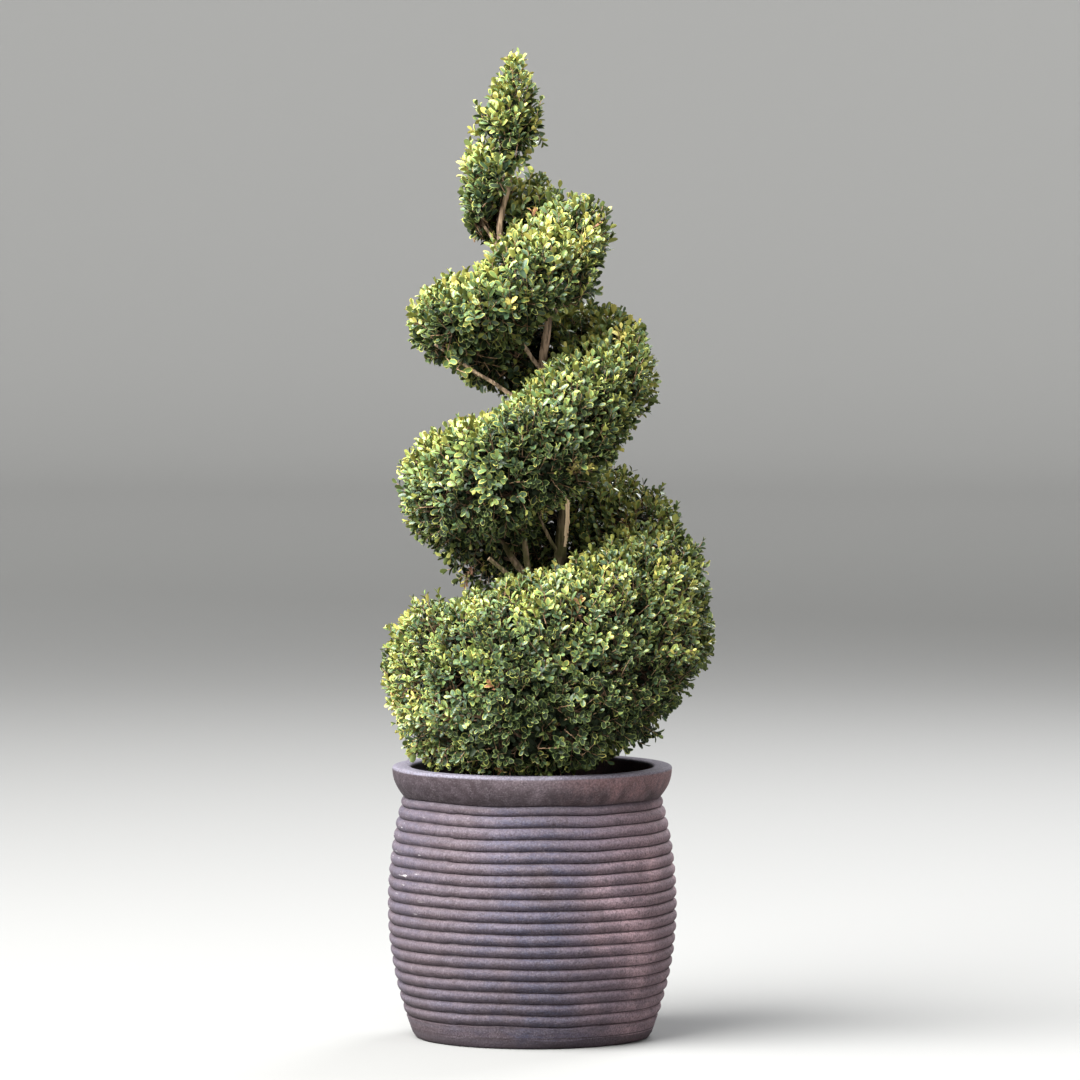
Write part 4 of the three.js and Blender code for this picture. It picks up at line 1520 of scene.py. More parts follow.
@dataclass
class Limbs:
    """The trunk and the boughs, with the relief of their bark."""

    trunk_step: float = 4.2
    trunk_corners: int = 12
    trunk_furrows: Limits = (1.15, 5.5)
    stoutness: float = 0.14
    stout_above: Limits = (1150, 1230)
    bough_step: float = 4.5
    bough_corners: int = 4
    bough_furrows: Limits = (0.42, 4.0)
    bough_sway: tuple[Relief, ...] = (Relief(34, 2.2), Relief(34, 2.2, 90), Relief(34, 2.2, 180))
    grain_press: float = 0.17
    fine_grain: Limits = (0.45, 0.4)
    knots: Limits = (6, 0.8)
    torn_heights: Limits = (757, 838)
    torn_width: float = 4.6
    torn_edge: Relief = Relief(9, 1.6)
    torn_side: float = 5.6
    torn_front: float = 2
    torn_depth: float = 1.1
    torn_share: float = 0.6
    sawn_share: float = 0.8
    merge: float = 0.01
    sharp: float = 60

    def tube(self, name: str, line: Array, radii: Array, corners: int) -> Piece:
        """Draws a limb as a thick line and turns it into a mesh.

        Args:
            name: the new object's name.
            line: the middle line in millimetres.
            radii: the radius at each of its points.
            corners: how many pairs of corners its section gains over a square.

        Returns:
            The closed limb.
        """
        deselect()
        bpy.ops.curve.primitive_nurbs_path_add()
        piece = bpy.context.object
        piece.name = piece.data.name = name
        piece.data.splines.clear()
        spline = piece.data.splines.new("POLY")
        spline.points.add(len(line) - 1)
        spline.points.foreach_set("co", np.c_[line * MM, np.ones(len(line))].ravel())
        spline.points.foreach_set("radius", radii * MM)
        piece.data.dimensions = "3D"
        piece.data.bevel_depth = 1
        piece.data.bevel_resolution = corners
        piece.data.use_fill_caps = True
        bpy.ops.object.convert(target="MESH")
        piece = bpy.context.object
        bpy.ops.object.mode_set(mode="EDIT")
        close_up(self.merge, self.sharp)
        return piece

    def furrow(self, piece: Piece, depth: float, width: float) -> Array:
        """Raises and sinks the bark in long upright furrows.

        Args:
            piece: the limb.
            depth: how deep the furrows go.
            width: how far apart they lie.

        Returns:
            The vertices' places in millimetres.
        """
        place, normal = read(piece, "co") / MM, read(piece, "normal")
        (fine_width, fine_height), (knot_width, knot_height) = self.fine_grain, self.knots
        ridges = 0.5 - np.abs(Relief(width, 2, press=self.grain_press).at(place))
        ridges += Relief(width * fine_width, fine_height, 50, self.grain_press).at(place)
        knots = Relief(width * knot_width, knot_height).at(place)
        sides = np.abs(normal[:, 2]) < UPRIGHT
        return place + normal * ((ridges + knots) * depth * sides)[:, None]

    def tear(self, place: Array) -> Array:
        """Bares the pale wood on the trunk's right, where a strip of bark is torn off.

        Args:
            place: the places of the trunk's vertices in millimetres.

        Returns:
            Each vertex's share of bare wood.
        """
        height = place[:, 2]
        offset = place - TRUNK.middle(height)
        low, high = self.torn_heights
        share = (height - low) / (high - low)
        width = self.torn_width * np.sqrt(np.clip(1 - (2 * share - 1) ** 2, 0, 1))
        near = np.abs(offset[:, 0] - self.torn_side) < width + self.torn_edge.at(place)
        return (near & (offset[:, 1] < self.torn_front) & (share > 0) & (share < 1)).astype(float)

    def build(self) -> None:
        """Models and dresses the trunk and each bough."""
        wood = BareWood().material()
        heights = np.arange(TRUNK.foot, TRUNK.top, self.trunk_step)
        stout = 1 + self.stoutness * within(heights, *self.stout_above)
        radii = TRUNK.radius(heights) * stout
        piece = self.tube("trunk_bark", TRUNK.middle(heights), radii, self.trunk_corners)
        place = self.furrow(piece, *self.trunk_furrows)
        bare = self.tear(place)
        offset = place - TRUNK.middle(place[:, 2])
        place -= unit(offset * [1, 1, 0]) * bare[:, None] * self.torn_depth
        move(piece, place)
        for polygon in piece.data.polygons:
            polygon.material_index = int(np.mean(bare[list(polygon.vertices)]) > self.torn_share)
        dress(piece, [Bark().material(), wood], ("trunk",))
        paler = Bark("bough_bark", ridge=(0.270, 0.190, 0.125), high=(0.440, 0.315, 0.215))
        finishes = [paler.material(), wood]
        for bough in BOUGHS:
            self.limb(bough, finishes)

    def limb(self, bough: Bough, finishes: list[Material]) -> None:
        """Models and dresses one bough.

        Args:
            bough: the bough.
            finishes: bark and bare wood.
        """
        count = int(math.hypot(bough.out, bough.rise) / self.bough_step)
        line = bough.line(TRUNK, count)
        sway = np.stack([relief.at(line) for relief in self.bough_sway], axis=1)
        line = line + sway * np.sin(np.linspace(0, 1, count)[:, None] * math.pi)
        piece = self.tube(f"{bough.name}_bark", line, bough.radii(count), self.bough_corners)
        move(piece, self.furrow(piece, *self.bough_furrows))
        for polygon in piece.data.polygons:
            from_tip = np.linalg.norm(np.array(polygon.center) / MM - line[-1])
            sawn = bough.name == SAWN_BOUGH and from_tip < bough.tip_radius * self.sawn_share
            polygon.material_index = int(sawn)
        dress(piece, finishes, (bough.name,))


def tubes(lines: Array, radii: Array, sides: int) -> tuple[Array, Array]:
    """Draws many thin limbs at once.

    Args:
        lines: the middle line of each limb, all with as many points.
        radii: the radius at each of those points.
        sides: how many sides a limb has.

    Returns:
        The vertices and the four-cornered faces.
    """
    count, length = lines.shape[:2]
    way = unit(np.gradient(lines, axis=1))
    helper = np.where(np.abs(way[:, :1, 2:]) > UPRIGHT, [1.0, 0, 0], UP)
    side = unit(np.cross(np.broadcast_to(helper, way.shape), way))
    front = np.cross(way, side)
    angle = np.arange(sides) * math.tau / sides
    ring = side[:, :, None] * np.cos(angle)[:, None] + front[:, :, None] * np.sin(angle)[:, None]
    vertices = lines[:, :, None] + ring * radii[:, :, None, None]
    corner = np.arange(sides)
    after = (corner + 1) % sides
    steps = np.arange(length - 1)[:, None] * sides
    low = [steps + corner, steps + after]
    faces = np.stack([*low, steps + sides + after, steps + sides + corner], -1)
    shift = np.arange(count)[:, None, None, None] * length * sides
    return vertices.reshape(-1, 3), (faces[None] + shift).reshape(-1, 4)


def scatter(points: Array, spacing: float) -> Array:
    """Keeps points so that no two are closer than a spacing.

    Args:
        points: candidates in the order in which they are tried.
        spacing: the least distance between two kept ones.

    Returns:
        The indices of the kept points.
    """
    kept: list[int] = []
    cells: dict[tuple[int, int, int], list[int]] = {}
    near = [(x, y, z) for x in (-1, 0, 1) for y in (-1, 0, 1) for z in (-1, 0, 1)]
    square = spacing * spacing
    rows = points.tolist()
    for index, (x, y, z) in enumerate(rows):
        cell = (int(x // spacing), int(y // spacing), int(z // spacing))
        close = False
        for dx, dy, dz in near:
            for other in cells.get((cell[0] + dx, cell[1] + dy, cell[2] + dz), ()):
                ox, oy, oz = rows[other]
                if (x - ox) ** 2 + (y - oy) ** 2 + (z - oz) ** 2 < square:
                    close = True
                    break
            if close:
                break
        if not close:
            kept.append(index)
            cells.setdefault(cell, []).append(index)
    return np.array(kept, int)


class Make(Enum):
    """How finely a leaf is made: near the outline, behind it, or deep inside a mass."""

    WHOLE = 0
    UPPER = 1
    PLAIN = 2


@dataclass(frozen=True)
class LeafShape:
    """A boxwood leaf: an oval blade, widest past its middle, with its tip rounded."""

    half_width: float = 0.226
    fold: float = 0.42
    curl: float = 0.12
    rim: float = 0.34
    rim_length: float = 1.08
    thickness: float = 0.028
    tip_place: float = 0.985
    middle_place: float = 0.5
    edge: Pairs = ((0.22, 0.62), (0.60, 1.0), (0.885, 0.66))
    plain_edge: Pairs = ((0.34, 0.95), (0.78, 0.92))

    def sheet(self, edge: Pairs, grow: float = 0, length: float = 1, drop: float = 0) -> Array:
        """Draws one face of the leaf, one unit long.

        Args:
            edge: the points of one edge, as shares of the length and the half width.
            grow: how much wider than the blade it is.
            length: its length.
            drop: how far below the blade's upper face it lies.

        Returns:
            Its points: foot, tip, one edge, the other edge, and the middle.
        """
        other_edge = ((x, -y) for x, y in edge)
        rows = [(0, 0), (self.tip_place, 0), *edge, *other_edge, (self.middle_place, 0)]
        points = []
        for x, y in rows:
            across = y * self.half_width * (1 + grow)
            lift = abs(across) * self.fold - self.curl * x * x - drop
            points.append((x * length, across, lift))
        return np.array(points)

    def pattern(self, make: Make) -> tuple[Array, Array, Array]:
        """Draws the leaf as one of its makes, with its paler underside as a rim on the whole one.

        Args:
            make: how finely it is made.

        Returns:
            The points, the faces, and whether each point is the underside's.
        """
        if make is Make.PLAIN:
            points = self.sheet(self.plain_edge)[:-1]
            return points, np.array([(2, 3, 1, 0), (0, 1, 5, 4)]), np.zeros(len(points), bool)
        upper = self.sheet(self.edge)
        faces = np.array([(2, 3, 8, 0), (3, 4, 1, 8), (0, 8, 6, 5), (8, 1, 7, 6)])
        if make is Make.UPPER:
            return upper, faces, np.zeros(len(upper), bool)
        under = self.sheet(self.edge, self.rim, self.rim_length, self.thickness)
        both = np.vstack([faces, faces[:, ::-1] + len(upper)])
        return np.vstack([upper, under]), both, np.repeat([False, True], len(upper))


@dataclass
class Room:
    """The room that leaves may fill: their mass's, clear of the bark, the rim and the soil."""

    bark_gap: float = 1.5
    box_gap: float = 13
    foot_gap: float = 20
    trunk_step: float = 8
    bough_points: int = 18
    batch: int = 4000
    mouth: float = 179
    rim_top: float = 421.5
    soil_gap: float = 3

    def __post_init__(self) -> None:
        """Lists places on the limbs' middle lines and measures the box that nothing leaves."""
        corners = np.array([tuple(corner) for corner in cad_box]) / MM
        self.box = corners + np.array([[-1.0], [1.0]]) * self.box_gap
        heights = np.arange(TRUNK.foot + self.foot_gap, TRUNK.top, self.trunk_step)
        lines, radii = [TRUNK.middle(heights)], [TRUNK.radius(heights)]
        for bough in BOUGHS:
            lines.append(bough.line(TRUNK, self.bough_points))
            radii.append(bough.radii(self.bough_points))
        self.limb_points = np.vstack(lines)
        self.limb_radii = np.concatenate(radii)

    def clear_of_limbs(self, points: Array) -> Array:
        """Tests whether points keep clear of the bark.

        Args:
            points: places in millimetres.

        Returns:
            True for each clear point.
        """
        clear = np.ones(len(points), bool)
        for start in range(0, len(points), self.batch):
            batch = slice(start, start + self.batch)
            away = np.linalg.norm(points[batch][:, None] - self.limb_points[None], axis=2)
            clear[batch] = (away > self.limb_radii + self.bark_gap).all(axis=1)
        return clear

    def clear_of_pot(self, points: Array) -> Array:
        """Tests whether points keep clear of the planter's rim and of the soil."""
        inside = np.hypot(points[:, 0], points[:, 1]) < self.mouth
        return (inside | (points[:, 2] > self.rim_top)) & (points[:, 2] > SOIL_TOP + self.soil_gap)

    def held(self, points: Array, turn: Array | None, overhang: Array) -> Array:
        """Tests whether points lie in their mass's space."""
        return TIP.holds(points, overhang) if turn is None else BAND.holds(points, turn, overhang)

    def fits(self, points: Array, turn: Array | None, overhang: Array) -> Array:
        """Tests whether points keep to their mass's space and clear of the other parts.

        Args:
            points: places in millimetres.
            turn: a turn angle near each point, or nothing for the crown tip.
            overhang: how far past the outline each may stand.

        Returns:
            True for each point that fits.
        """
        boxed = ((points > self.box[0]) & (points < self.box[1])).all(axis=1)
        clear = self.clear_of_pot(points) & self.clear_of_limbs(points)
        return self.held(points, turn, overhang) & boxed & clear


@dataclass(frozen=True)
class Tinting:
    """How tints are dealt out to shoots: the more light a shoot gets, the lighter its tint.

    A pair of heights, or of places to the right, tells from where to where a share fills up.
    """

    patches: tuple[Relief, ...] = (Relief(80, 0.7, 700), Relief(24, 0.4, 900))
    facing_up: float = 0.34
    facing_down: float = 0.7
    facing_right: float = 0.15
    right_limits: Limits = (-0.6, 0.4)
    base_heights: Limits = (640, 520)
    base_places: Limits = (-40, -170)
    base_light: float = 0.75
    shade_heights: Limits = (600, 470)
    shade_places: Limits = (-130, -70)
    risen_heights: Limits = (700, 820)
    risen_light: float = 0.16
    top_heights: Limits = (1330, 1390)
    top_light: float = 0.34
    inner_shade: float = 0.8
    chance: float = 0.30
    limits: tuple[float, ...] = (-0.14, 0.20, 0.60, 1.02, 1.40)
    bronze_share: float = 0.0015
    bronze_base_share: float = 0.012
    yellow_share: float = 0.0025
    under_chance: float = 1.3
    under_limits: Limits = (1.4, 3.7)

    def shade(self, points: Array) -> Array:
        """Finds how far points lie in the shade, low in the base and right of its left end."""
        across = within(points[:, 0], *self.shade_places)
        return within(points[:, 2], *self.shade_heights) * across

    def deal(self, shoots: Rows, random: np.random.Generator) -> Array:
        """Deals a tint to each shoot.

        Args:
            shoots: the shoots.
            random: the source of chance.

        Returns:
            The slot of each one's tint, or of the tint that it was given.
        """
        end, side, rise = shoots["end"], shoots["normal"][:, 0], shoots["normal"][:, 2]
        height = end[:, 2]
        lit = np.maximum(rise, 0) * self.facing_up + np.minimum(rise, 0) * self.facing_down
        lit -= np.clip(side, *self.right_limits) * self.facing_right
        base = within(height, *self.base_heights) * within(end[:, 0], *self.base_places)
        score = sum(patch.at(end) for patch in self.patches) + lit
        score += base * self.base_light
        score -= self.shade(end)
        score += within(height, *self.risen_heights) * self.risen_light
        score += within(height, *self.top_heights) * self.top_light
        score -= (shoots["sunk"] > 0) * self.inner_shade
        score += random.normal(0, self.chance, len(end))
        dealt = np.digitize(score, self.limits)
        rare = random.uniform(0, 1, len(end))
        bronze = rare < self.bronze_share + self.bronze_base_share * base
        dealt = np.where(bronze, Tint.BRONZE.slot(), dealt)
        dealt = np.where(rare > 1 - self.yellow_share, Tint.YELLOW.slot(), dealt)
        return np.where(shoots["tint"] < 0, dealt, shoots["tint"])

    def under(self, dealt: Array, random: np.random.Generator) -> Array:
        """Deals a slot of the underside's tints to each leaf, by its upper tint and by chance."""
        blurred = dealt + random.normal(0, self.under_chance, len(dealt))
        return len(UPPER_TINTS) + np.digitize(blurred, self.under_limits)


@dataclass(frozen=True)
class Strand:
    """A kind of limb in a mass: its points, its bend, its radii, its sides and its tint."""

    points: int
    bend: float
    thick: float
    thin: float
    sides: int
    tint: Tint


BRANCH = Strand(6, 0.18, 3.1, 1.9, 5, Tint.BRANCH)
TWIG = Strand(4, 0.25, 1.9, 1.15, 4, Tint.TWIG)
SIDE_TWIG = Strand(3, 0.2, 1.15, 0.9, 3, Tint.TWIG)
INNER_TWIG = Strand(2, 0, 1.0, 0.6, 3, Tint.TWIG)
SHOOT = Strand(3, 0.05, 0.9, 0.6, 3, Tint.SHOOT)


@dataclass
class Foliage:
    """All the masses of foliage: branches, twigs, shoots and leaves.

    Lengths are in millimetres, and a chance is the spread of a normal one.
    """

    candidates: int = 12000
    tip_gap: float = 3
    slope_step: float = 4
    slope_limits: Limits = (-0.6, 2.5)
    section_share: float = 0.92
    sparse_below: float = -1.9
    sparse_share: float = 0.55
    shoot_spacing: float = 10.4
    spacing_growth: float = 2.3
    growth_heights: Limits = (500, 1100)
    open_underside: float = 0.38
    open_slope: float = 1.5
    openings: Relief = Relief(19, 1, 500)
    open_below: float = -0.31
    open_share: float = 0.8
    inner_layers: Pairs = ((34, 22), (62, 24), (92, 26), (126, 30))
    first_layer_share: float = 0.6
    core_gap: float = 6
    node_depths: Pairs = ((46, 36), (74, 72))
    deepest_node: float = 0.8
    uneven: tuple[Relief, ...] = (Relief(72, 14), Relief(27, 16, 300))
    proud_chance: float = 3.2
    proud_limits: Limits = (-19, 10)
    stray_share: float = 0.06
    stray_lengths: Limits = (3, 12)
    inset: float = 12
    inset_below: float = 0.9
    climbs: Three = (0.5, 0.75, 1.5)
    climb_heights: Three = (450, 900, 1400)
    climb_losses: Pairs = ((0.6, 1), (1, 1.8))
    way_chance: float = 0.28
    shoot_length: float = 40
    length_range: Limits = (0.8, 1.15)
    half_share: float = 0.8
    inner_length: float = 24
    inner_share: float = 0.9
    overhang: float = 11
    foot_overhang: float = 3
    sprig_overhang: float = 40
    light_share: float = 0.6
    light_rise: float = 0.8
    leaf_length: float = 11.6
    leaf_growth: float = 4.6
    inner_scale: float = 1.35
    shade_growth: float = 0.22
    internode: float = 0.5
    internode_range: Limits = (0.85, 1.15)
    pairs: int = 5
    whole_pairs: int = 3
    bare_foot: float = 2
    spread_pairs: Three = (0, 1, 3)
    spreads: Three = (20, 40, 58)
    spread_chance: float = 11
    inner_spread: float = 12
    twist_chance: float = 0.25
    scale_pairs: Three = (0, 1, 2)
    scales: Three = (0.68, 0.92, 1.0)
    scale_chance: float = 0.13
    scale_limits: Limits = (0.5, 1.3)
    face_light: float = 0.40
    face_chance: float = 0.34
    younger_share: float = 0.5
    leafy_share: float = 0.96
    checked_share: float = 0.55
    width_range: Limits = (0.88, 1.12)
    cup_range: Limits = (0.2, 1.5)
    least_slope: float = 0.35
    twig_climb: float = 0.3
    branch_climb: float = 1.2
    wander: float = 0.5
    droop: float = 0.4
    seed: int = 2417
    leaf_keys: tuple[str, ...] = ("shoot", "foot", "way", "face", "size", "tint", "make")
    leaf: LeafShape = field(default_factory=LeafShape)
    tinting: Tinting = field(default_factory=Tinting)
    room: Room = field(default_factory=Room)

    def __post_init__(self) -> None:
        """Starts the source of chance."""
        self.random = np.random.default_rng(self.seed)

    def nearest(self, points: Array, feet: Array, climb: float) -> Array:
        """Finds the foot that each point grows from, sooner one that lies below it.

        Args:
            points: the ends.
            feet: the feet to choose from.
            climb: how much a foot that lies above its end counts as further off.

        Returns:
            The index of each point's foot.
        """
        gap = points[:, None] - feet[None]
        away = np.linalg.norm(gap, axis=2)
        level = np.hypot(gap[..., 0], gap[..., 1])
        above = np.maximum(level * self.least_slope - gap[..., 2], 0)
        return np.argmin(away + climb * above, axis=1)

    def bent(self, starts: Array, ends: Array, strand: Strand) -> Array:
        """Draws slightly bent lines between points.

        Args:
            starts: where the lines start.
            ends: where they end.
            strand: the kind of limb, which says how many points they have and how they bend.

        Returns:
            The lines.
        """
        length = np.linalg.norm(ends - starts, axis=1, keepdims=True)
        chance = self.random.normal(0, self.wander, starts.shape) - UP * self.droop
        middle = (starts + ends) / 2 + chance * length * strand.bend
        share = np.linspace(0, 1, strand.points)[None, :, None]
        return arc(starts[:, None], middle[:, None], ends[:, None], share)

    def tip_skin(self, turn: Array) -> Rows:
        """Spreads candidate points over the crown tip's outline.

        Args:
            turn: their turn angles.

        Returns:
            The points, their ways out, turn angles, half heights and inner middles.
        """
        rise = self.random.uniform(0, 1, len(turn))
        height = mix(TIP.underside(turn), TIP.height - self.tip_gap, rise)
        step = self.slope_step
        slope = (TIP.radius(height - step) - TIP.radius(height + step)) / (2 * step)
        droop = np.clip(1 - (height - TIP.underside(turn)) / TIP.droop_height, 0, 1)
        way = outwards(turn)
        normal = way + UP * (np.clip(slope, *self.slope_limits) - TIP.droop * droop)[:, None]
        reach, middle = TIP.radius(height), TIP.middle(height)
        skin = middle + way * reach[:, None]
        return {"skin": skin, "normal": unit(normal), "turn": turn, "half": reach, "inner": middle}

    def band_skin(self, turn: Array) -> Rows:
        """Spreads candidate points over the band's outline, fewer on its hidden underside.

        Args:
            turn: their turn angles.

        Returns:
            The points, their ways out, turn angles, half heights and inner middles.
        """
        count = len(turn)
        across = self.random.uniform(-self.section_share, self.section_share, count) * math.pi
        left_out = self.random.uniform(0, 1, count) < self.sparse_share
        kept = ~((across < self.sparse_below) & left_out)
        turn, across = turn[kept], across[kept]
        return {
            "skin": BAND.point(turn, across, 1.0),
            "normal": BAND.normal(turn, across),
            "turn": turn,
            "half": BAND.section(turn)[1],
            "inner": BAND.point(turn, across, 0.0),
        }

    def surface(self, low: float, high: float, tip: bool) -> Rows:
        """Spreads shoot tips, twig nodes and branch nodes through one mass.

        Args:
            low: the turn angle where it starts.
            high: the turn angle where it ends.
            tip: whether the mass is the crown tip.

        Returns:
            The shoots' clipped ends, ways out, turn angles and depths, and the inner nodes.
        """
        turn = self.random.uniform(low, high, self.candidates)
        found = self.tip_skin(turn) if tip else self.band_skin(turn)
        skin, inner = found["skin"], found["inner"]
        risen = float(within(np.median(skin[:, 2]), *self.growth_heights))
        outer = scatter(skin, self.shoot_spacing + self.spacing_growth * risen)
        down = np.clip(-self.open_slope * found["normal"][outer, 2], 0, 1)
        opened = self.openings.at(skin[outer]) < self.open_below
        open_share = self.open_underside * down + self.open_share * opened
        outer = outer[self.random.uniform(0, 1, len(outer)) > open_share]
        deep = np.linalg.norm(skin - inner, axis=1)
        rows, sunk = [outer], [np.zeros(len(outer))]
        for index, (depth, spacing) in enumerate(self.inner_layers):
            sink = np.full(len(deep), depth, float)
            if index == 0:
                sink = np.minimum(sink, deep * self.first_layer_share)
            roomy = np.flatnonzero(deep > sink + self.core_gap)
            place = mix(skin[roomy], inner[roomy], (sink / np.maximum(deep, 1))[roomy, None])
            chosen = roomy[scatter(place, spacing)]
            rows.append(chosen)
            sunk.append(sink[chosen])
        row = np.concatenate(rows)
        nodes = {}
        for key, (depth, spacing) in zip(("twigs", "branches"), self.node_depths):
            share = np.clip(depth / np.maximum(deep, 1), 0, self.deepest_node)[:, None]
            place = mix(skin, inner, share)
            chosen = place[scatter(place, spacing)]
            nodes[key] = chosen[self.room.clear_of_pot(chosen)]
        mass = {key: found[key][row] for key in ("skin", "normal", "turn", "half")}
        return mass | {"deep": deep[row], "sunk": np.concatenate(sunk)} | nodes

    def shoots(self, mass: Rows, tip: bool) -> Rows:
        """Grows each shoot's line from inside its mass to the clipped outline.

        Args:
            mass: the mass's surface, as surface gives it.
            tip: whether the mass is the crown tip.

        Returns:
            Each shoot's foot, end, way, length, overhang, turn, normal, depth and given tint.
        """
        skin, normal, sunk = mass["skin"], mass["normal"], mass["sunk"]
        count, random, room = len(skin), self.random, self.room
        inner, rise = sunk > 0, normal[:, 2]
        uneven = sum(relief.at(skin) for relief in self.uneven)
        strays = random.uniform(0, 1, count) < self.stray_share
        stray = np.where(strays, random.uniform(*self.stray_lengths, count), 0) * ~inner
        swell = np.zeros(count) if tip else sum(swell.at(skin) for swell in SWELLS)
        uneven = uneven + random.normal(0, self.proud_chance, count)
        inset = self.inset * (1 + self.inset_below * np.minimum(rise, 0))
        proud = np.clip(uneven, *self.proud_limits) + stray + swell - inset - sunk
        climb = np.interp(skin[:, 2], self.climb_heights, self.climbs)
        loss, slope = self.climb_losses[tip]
        climb = climb * (1 - loss * np.clip(-rise * slope, 0, 1))
        way = unit(normal + climb[:, None] * UP + random.normal(0, self.way_chance, (count, 3)))
        end = skin + normal * proud[:, None]
        length = self.shoot_length * random.uniform(*self.length_range, count)
        length = np.minimum(length, mass["half"] * self.half_share)
        inner_length = np.minimum(self.inner_length, (mass["deep"] - sunk) * self.inner_share)
        length = np.where(inner, inner_length, length)
        turn = None if tip else mass["turn"]
        snug = np.full(count, self.foot_overhang, float)
        length = np.where(room.held(end - way * length[:, None], turn, snug), length, length / 2)
        foot = end - way * length[:, None]
        overhang = self.overhang + stray + np.maximum(swell, 0)
        good = room.fits(end, turn, overhang) & room.clear_of_pot(foot)
        good &= room.held(foot, turn, snug)
        grown = {
            "foot": foot, "end": end, "way": way, "length": length, "overhang": overhang,
            "turn": mass["turn"], "normal": normal, "sunk": sunk, "tint": np.full(count, -1),
        }
        return {key: rows[good] for key, rows in grown.items()}

    def add_sprigs(self, name: str, shoots: Rows) -> None:
        """Adds the missed shoots of a mass to its others.

        Args:
            name: the mass's node.
            shoots: its shoots, which grow by the missed ones.
        """
        for sprig in SPRIGS:
            if sprig.node != name:
                continue
            way, end = unit(np.array([sprig.way])), np.array([sprig.end], float)
            given = {
                "foot": end - way * sprig.length, "end": end, "way": way, "normal": way,
                "length": [sprig.length], "overhang": [self.sprig_overhang],
                "turn": [sprig.turn], "sunk": [0], "tint": [sprig.tint.slot()],
            }
            for key, row in given.items():
                shoots[key] = np.concatenate([shoots[key], row])

    def leaf_lengths(self, shoots: Rows) -> Array:
        """Finds how long the leaves of each shoot are, which grows upwards and in the shade.

        Args:
            shoots: the shoots.

        Returns:
            The leaves' length on each shoot.
        """
        end, inner = shoots["end"], shoots["sunk"] > 0
        length = self.leaf_length + self.leaf_growth * within(end[:, 2], *self.growth_heights)
        length = length * np.where(inner, self.inner_scale, 1)
        return length * (1 + self.shade_growth * self.tinting.shade(end))

    def leaves(self, shoots: Rows, tip: bool) -> Rows:
        """Grows opposite pairs of leaves along every shoot of a mass.

        Args:
            shoots: its shoots.
            tip: whether the mass is the crown tip.

        Returns:
            Each leaf's shoot, foot, way, face, size, tint and make.
        """
        random, stem = self.random, shoots["way"]
        count, inner = len(stem), shoots["sunk"] > 0
        tint = self.tinting.deal(shoots, random)
        helper = unit(random.normal(0, 1, (count, 3)))
        first = unit(np.cross(stem, helper))
        second = np.cross(stem, first)
        light = unit(shoots["normal"] * self.light_share + UP * self.light_rise)
        length = self.leaf_lengths(shoots)
        grown: dict[str, list[Array]] = {key: [] for key in self.leaf_keys}
        for pair in range(self.pairs):
            outermost, whole = pair == 0, pair < self.whole_pairs
            back = pair * self.internode * length * random.uniform(*self.internode_range, count)
            alive = (back < shoots["length"] - self.bare_foot) & (whole | ~inner)
            spread = np.interp(pair, self.spread_pairs, self.spreads)
            spread = spread + random.normal(0, self.spread_chance, count)
            spread = np.radians(spread + np.where(inner, self.inner_spread, 0))[:, None]
            twist = (pair % 2) * math.pi / 2 + random.normal(0, self.twist_chance, count)
            across = first * np.cos(twist)[:, None] + second * np.sin(twist)[:, None]
            scale = np.interp(pair, self.scale_pairs, self.scales)
            scale = scale * random.normal(1, self.scale_chance, count)
            outer_make = Make.WHOLE if whole else Make.UPPER
            for hand in (-1, 1):
                out = across * hand
                way = stem * np.cos(spread) + out * np.sin(spread)
                face = stem * np.sin(spread) - out * np.cos(spread)
                face = face + light * self.face_light
                face = face + random.normal(0, self.face_chance, (count, 3))
                face = unit(face - way * np.sum(face * way, axis=1, keepdims=True))
                young = random.uniform(0, 1, count) < self.younger_share
                younger = young & (tint < Tint.LIME.slot()) & outermost
                older = (tint > Tint.DEEP.slot()) & (tint < Tint.YELLOW.slot()) & (not whole)
                keep = alive & (random.uniform(0, 1, count) < self.leafy_share)
                for key, rows in (
                    ("shoot", np.arange(count)),
                    ("foot", shoots["end"] - stem * back[:, None]),
                    ("way", way),
                    ("face", face),
                    ("size", length * np.clip(scale, *self.scale_limits)),
                    ("tint", tint + younger - older),
                    ("make", np.where(inner, Make.PLAIN.value, outer_make.value)),
                ):
                    grown[key].append(rows[keep])
        found = {key: np.concatenate(rows) for key, rows in grown.items()}
        turn = None if tip else shoots["turn"][found["shoot"]]
        overhang = shoots["overhang"][found["shoot"]]
        reach = found["way"] * found["size"][:, None]
        good = self.room.fits(found["foot"] + reach, turn, overhang)
        good &= self.room.clear_of_limbs(found["foot"] + reach * self.checked_share)
        return {key: rows[good] for key, rows in found.items()}

